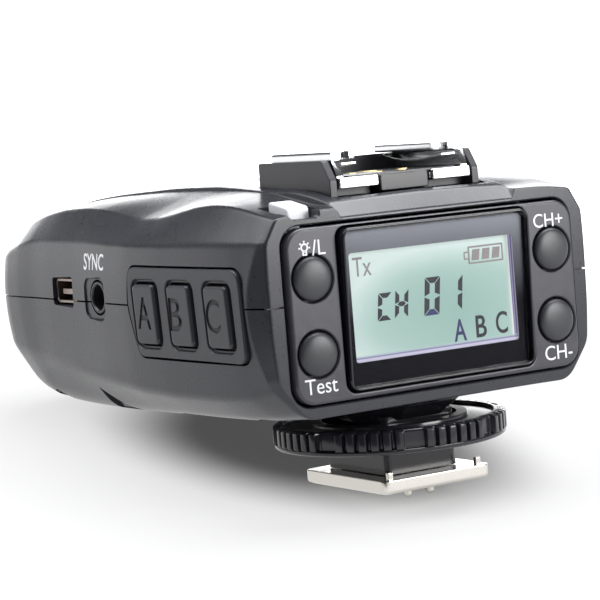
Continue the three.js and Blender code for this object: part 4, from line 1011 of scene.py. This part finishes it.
def floor_material():
    m = bpy.data.materials.new("floor_painted_light_and_shadow")
    m.use_nodes = True
    nt = m.node_tree
    b = nt.nodes["Principled BSDF"]
    b.inputs["Roughness"].default_value = 0.30
    b.inputs["Specular IOR Level"].default_value = 0.0
    b.inputs["Emission Color"].default_value = (1, 1, 1, 1)
    N, L = nt.nodes.new, nt.links.new
    tc = N("ShaderNodeTexCoord")

    def vec(op, a, c):
        m = N("ShaderNodeVectorMath")
        m.operation = op
        L(a, m.inputs[0])
        if c is not None:
            m.inputs[1].default_value = c
        return m

    def smooth(value, lo, hi, to):
        m = N("ShaderNodeMapRange")
        m.interpolation_type = "SMOOTHSTEP"
        m.inputs["From Min"].default_value = lo
        m.inputs["From Max"].default_value = hi
        m.inputs["To Max"].default_value = to
        L(value, m.inputs["Value"])
        return m.outputs["Result"]

    def op(kind, a, c):
        m = N("ShaderNodeMath")
        m.operation = kind
        for k, x in enumerate((a, c)):
            if isinstance(x, (int, float)):
                m.inputs[k].default_value = x
            else:
                L(x, m.inputs[k])
        return m.outputs[0]

    # painted light on the table: its emission leaves a painted shadow under the body, turns white away from it and
    # paints a brighter pool far behind
    flat = vec("MULTIPLY", tc.outputs["Object"], (1, 1, 0)).outputs["Vector"]
    rel = vec("MULTIPLY", vec("SUBTRACT", flat, (FLOOR["cx"], FLOOR["cy"], 0)).outputs["Vector"], (1 / FLOOR["rx"], 1 / FLOOR["ry"], 0))
    near = vec("LENGTH", rel.outputs["Vector"], None).outputs["Value"]
    away = vec("NORMALIZE", flat, None).outputs["Vector"]
    back = smooth(vec("DOT_PRODUCT", away, (0.45, 0.893, 0)).outputs["Value"], 0.75, 0.95, FLOOR["back"])
    far = smooth(near, 2.2, 9.0, 1.0)
    b.inputs["Base Color"].default_value = (FLOOR["albedo"],) * 3 + (1,)
    painted_light = op("ADD", op("ADD", FLOOR["base"], smooth(near, FLOOR["r0"], FLOOR["r1"], FLOOR["near"])), op("MULTIPLY", far, op("ADD", FLOOR["far"], back)))
    L(painted_light, b.inputs["Emission Strength"])
    nz = nt.nodes.new("ShaderNodeTexNoise")
    nz.inputs["Scale"].default_value = 25
    nt.links.new(tc.outputs["Object"], nz.inputs["Vector"])
    bp = nt.nodes.new("ShaderNodeBump")
    bp.inputs["Strength"].default_value = 0.02
    bp.inputs["Distance"].default_value = 0.001
    nt.links.new(nz.outputs["Fac"], bp.inputs["Height"])
    nt.links.new(bp.outputs["Normal"], b.inputs["Normal"])
    return m


SLOPE = 0.154
fl = raw("floor", [(-3000, -3000, SLOPE * (-3000 - 9.69)), (3000, -3000, SLOPE * (-3000 - 9.69)), (3000, 3000, SLOPE * (3000 - 9.69)), (-3000, 3000, SLOPE * (3000 - 9.69))], [(0, 1, 2, 3)])
fl.data.transform(Matrix.Scale(0.001, 4))
fl.data.materials.append(floor_material())

world = bpy.data.worlds.new("studio")
scene.world = world
world.use_nodes = True


def studio(nt):
    """A white horizon all round, brighter behind, a large soft light overhead and a weaker one at the upper left."""
    N, L = nt.nodes.new, nt.links.new
    bg = nt.nodes["Background"]
    tc = N("ShaderNodeTexCoord")
    d = tc.outputs["Generated"]
    sep = N("ShaderNodeSeparateXYZ")
    L(d, sep.inputs[0])

    def smooth(value, lo, hi, to=1.0):
        m = N("ShaderNodeMapRange")
        m.interpolation_type = "SMOOTHSTEP"
        m.inputs["From Min"].default_value = lo
        m.inputs["From Max"].default_value = hi
        m.inputs["To Max"].default_value = to
        L(value, m.inputs["Value"])
        return m.outputs["Result"]

    def lobe(direction, lo, hi, to=1.0):
        v = N("ShaderNodeVectorMath")
        v.operation = "DOT_PRODUCT"
        v.inputs[1].default_value = Vector(direction).normalized()
        L(d, v.inputs[0])
        return smooth(v.outputs["Value"], lo, hi, to)

    def op(kind, a, b):
        m = N("ShaderNodeMath")
        m.operation = kind
        for k, x in enumerate((a, b)):
            if isinstance(x, (int, float)):
                m.inputs[k].default_value = x
            else:
                L(x, m.inputs[k])
        return m.outputs[0]

    low = op("SUBTRACT", 1.0, smooth(sep.outputs["Z"], 0.14, 0.32))
    horizon = op("MULTIPLY", low, WORLD["horizon"])
    behind = op("MULTIPLY", op("SUBTRACT", 1.0, smooth(sep.outputs["Z"], 0.20, 0.34)), lobe((0.50, 0.866, 0.0), 0.80, 0.95, WORLD["back"]))
    horizon = op("ADD", horizon, behind)
    total = op("ADD", horizon, WORLD["base"])
    total = op("ADD", total, lobe((0.30, 0.03, 0.95), 0.86, 0.945, WORLD["top"]))
    total = op("ADD", total, lobe((-0.50, 0.35, 0.80), 0.82, 0.93, WORLD["left"]))
    L(total, bg.inputs["Strength"])
    bg.inputs["Color"].default_value = (0.985, 0.99, 1.0, 1)


WORLD = dict(horizon=0.8, back=4.6, base=0.06, top=8.5, left=3.8)
studio(world.node_tree)


def area(name, loc, target, size, power, color=(1, 1, 1)):
    ld = bpy.data.lights.new(name, "AREA")
    ld.shape = "RECTANGLE"
    ld.size, ld.size_y = size
    ld.energy = power
    ld.color = color
    o = bpy.data.objects.new(name, ld)
    scene.collection.objects.link(o)
    o.location = loc
    d = Vector(target) - Vector(loc)
    o.rotation_euler = d.to_track_quat("-Z", "Y").to_euler()
    o.visible_camera = False
    return o


area("front_panel_light", (0.088, -0.160, 0.080), (0.0, -0.015, 0.028), (0.095, 0.10), 0.33)


def card(name, corners, strength):
    """A studio card seen only in reflections: black when strength is 0, else a soft white reflector."""
    m = bpy.data.materials.new(name)
    m.use_nodes = True
    b = m.node_tree.nodes["Principled BSDF"]
    b.inputs["Base Color"].default_value = (0.004, 0.004, 0.004, 1)
    b.inputs["Specular IOR Level"].default_value = 0.0
    b.inputs["Emission Color"].default_value = (1, 1, 1, 1)
    b.inputs["Emission Strength"].default_value = strength
    o = raw(name, corners, [(0, 1, 2, 3)])
    o.data.transform(Matrix.Scale(0.001, 4))
    o.data.materials.append(m)
    o.visible_camera = False
    o.visible_diffuse = False
    o.visible_transmission = False
    o.visible_shadow = False
    return o


card("black_card_left", [(-120, -260, -45), (-120, 62, -45), (-120, 62, 150), (-120, -260, 150)], 0.0)
card("white_card_low", [(-46, -12, SLOPE * (-12 - 9.69) + 0.4), (-6, -12, SLOPE * (-12 - 9.69) + 0.4), (-6, 74, SLOPE * (74 - 9.69) + 0.4), (-46, 74, SLOPE * (74 - 9.69) + 0.4)], 0.85)


cam = bpy.data.cameras.new("photo_camera")
cam.lens = 143.72
cam.sensor_width = 36.0
cam.clip_start, cam.clip_end = 0.01, 50
co = bpy.data.objects.new("photo_camera", cam)
scene.collection.objects.link(co)
rt, up, fw = Vector((0.84666, -0.52594, -0.08096)), Vector((0.11094, 0.02564, 0.99350)), Vector((0.52044, 0.85014, -0.08006))
co.matrix_world = Matrix(((rt.x, up.x, -fw.x, -0.191898), (rt.y, up.y, -fw.y, -0.291294), (rt.z, up.z, -fw.z, 0.055431), (0, 0, 0, 1)))
scene.camera = co
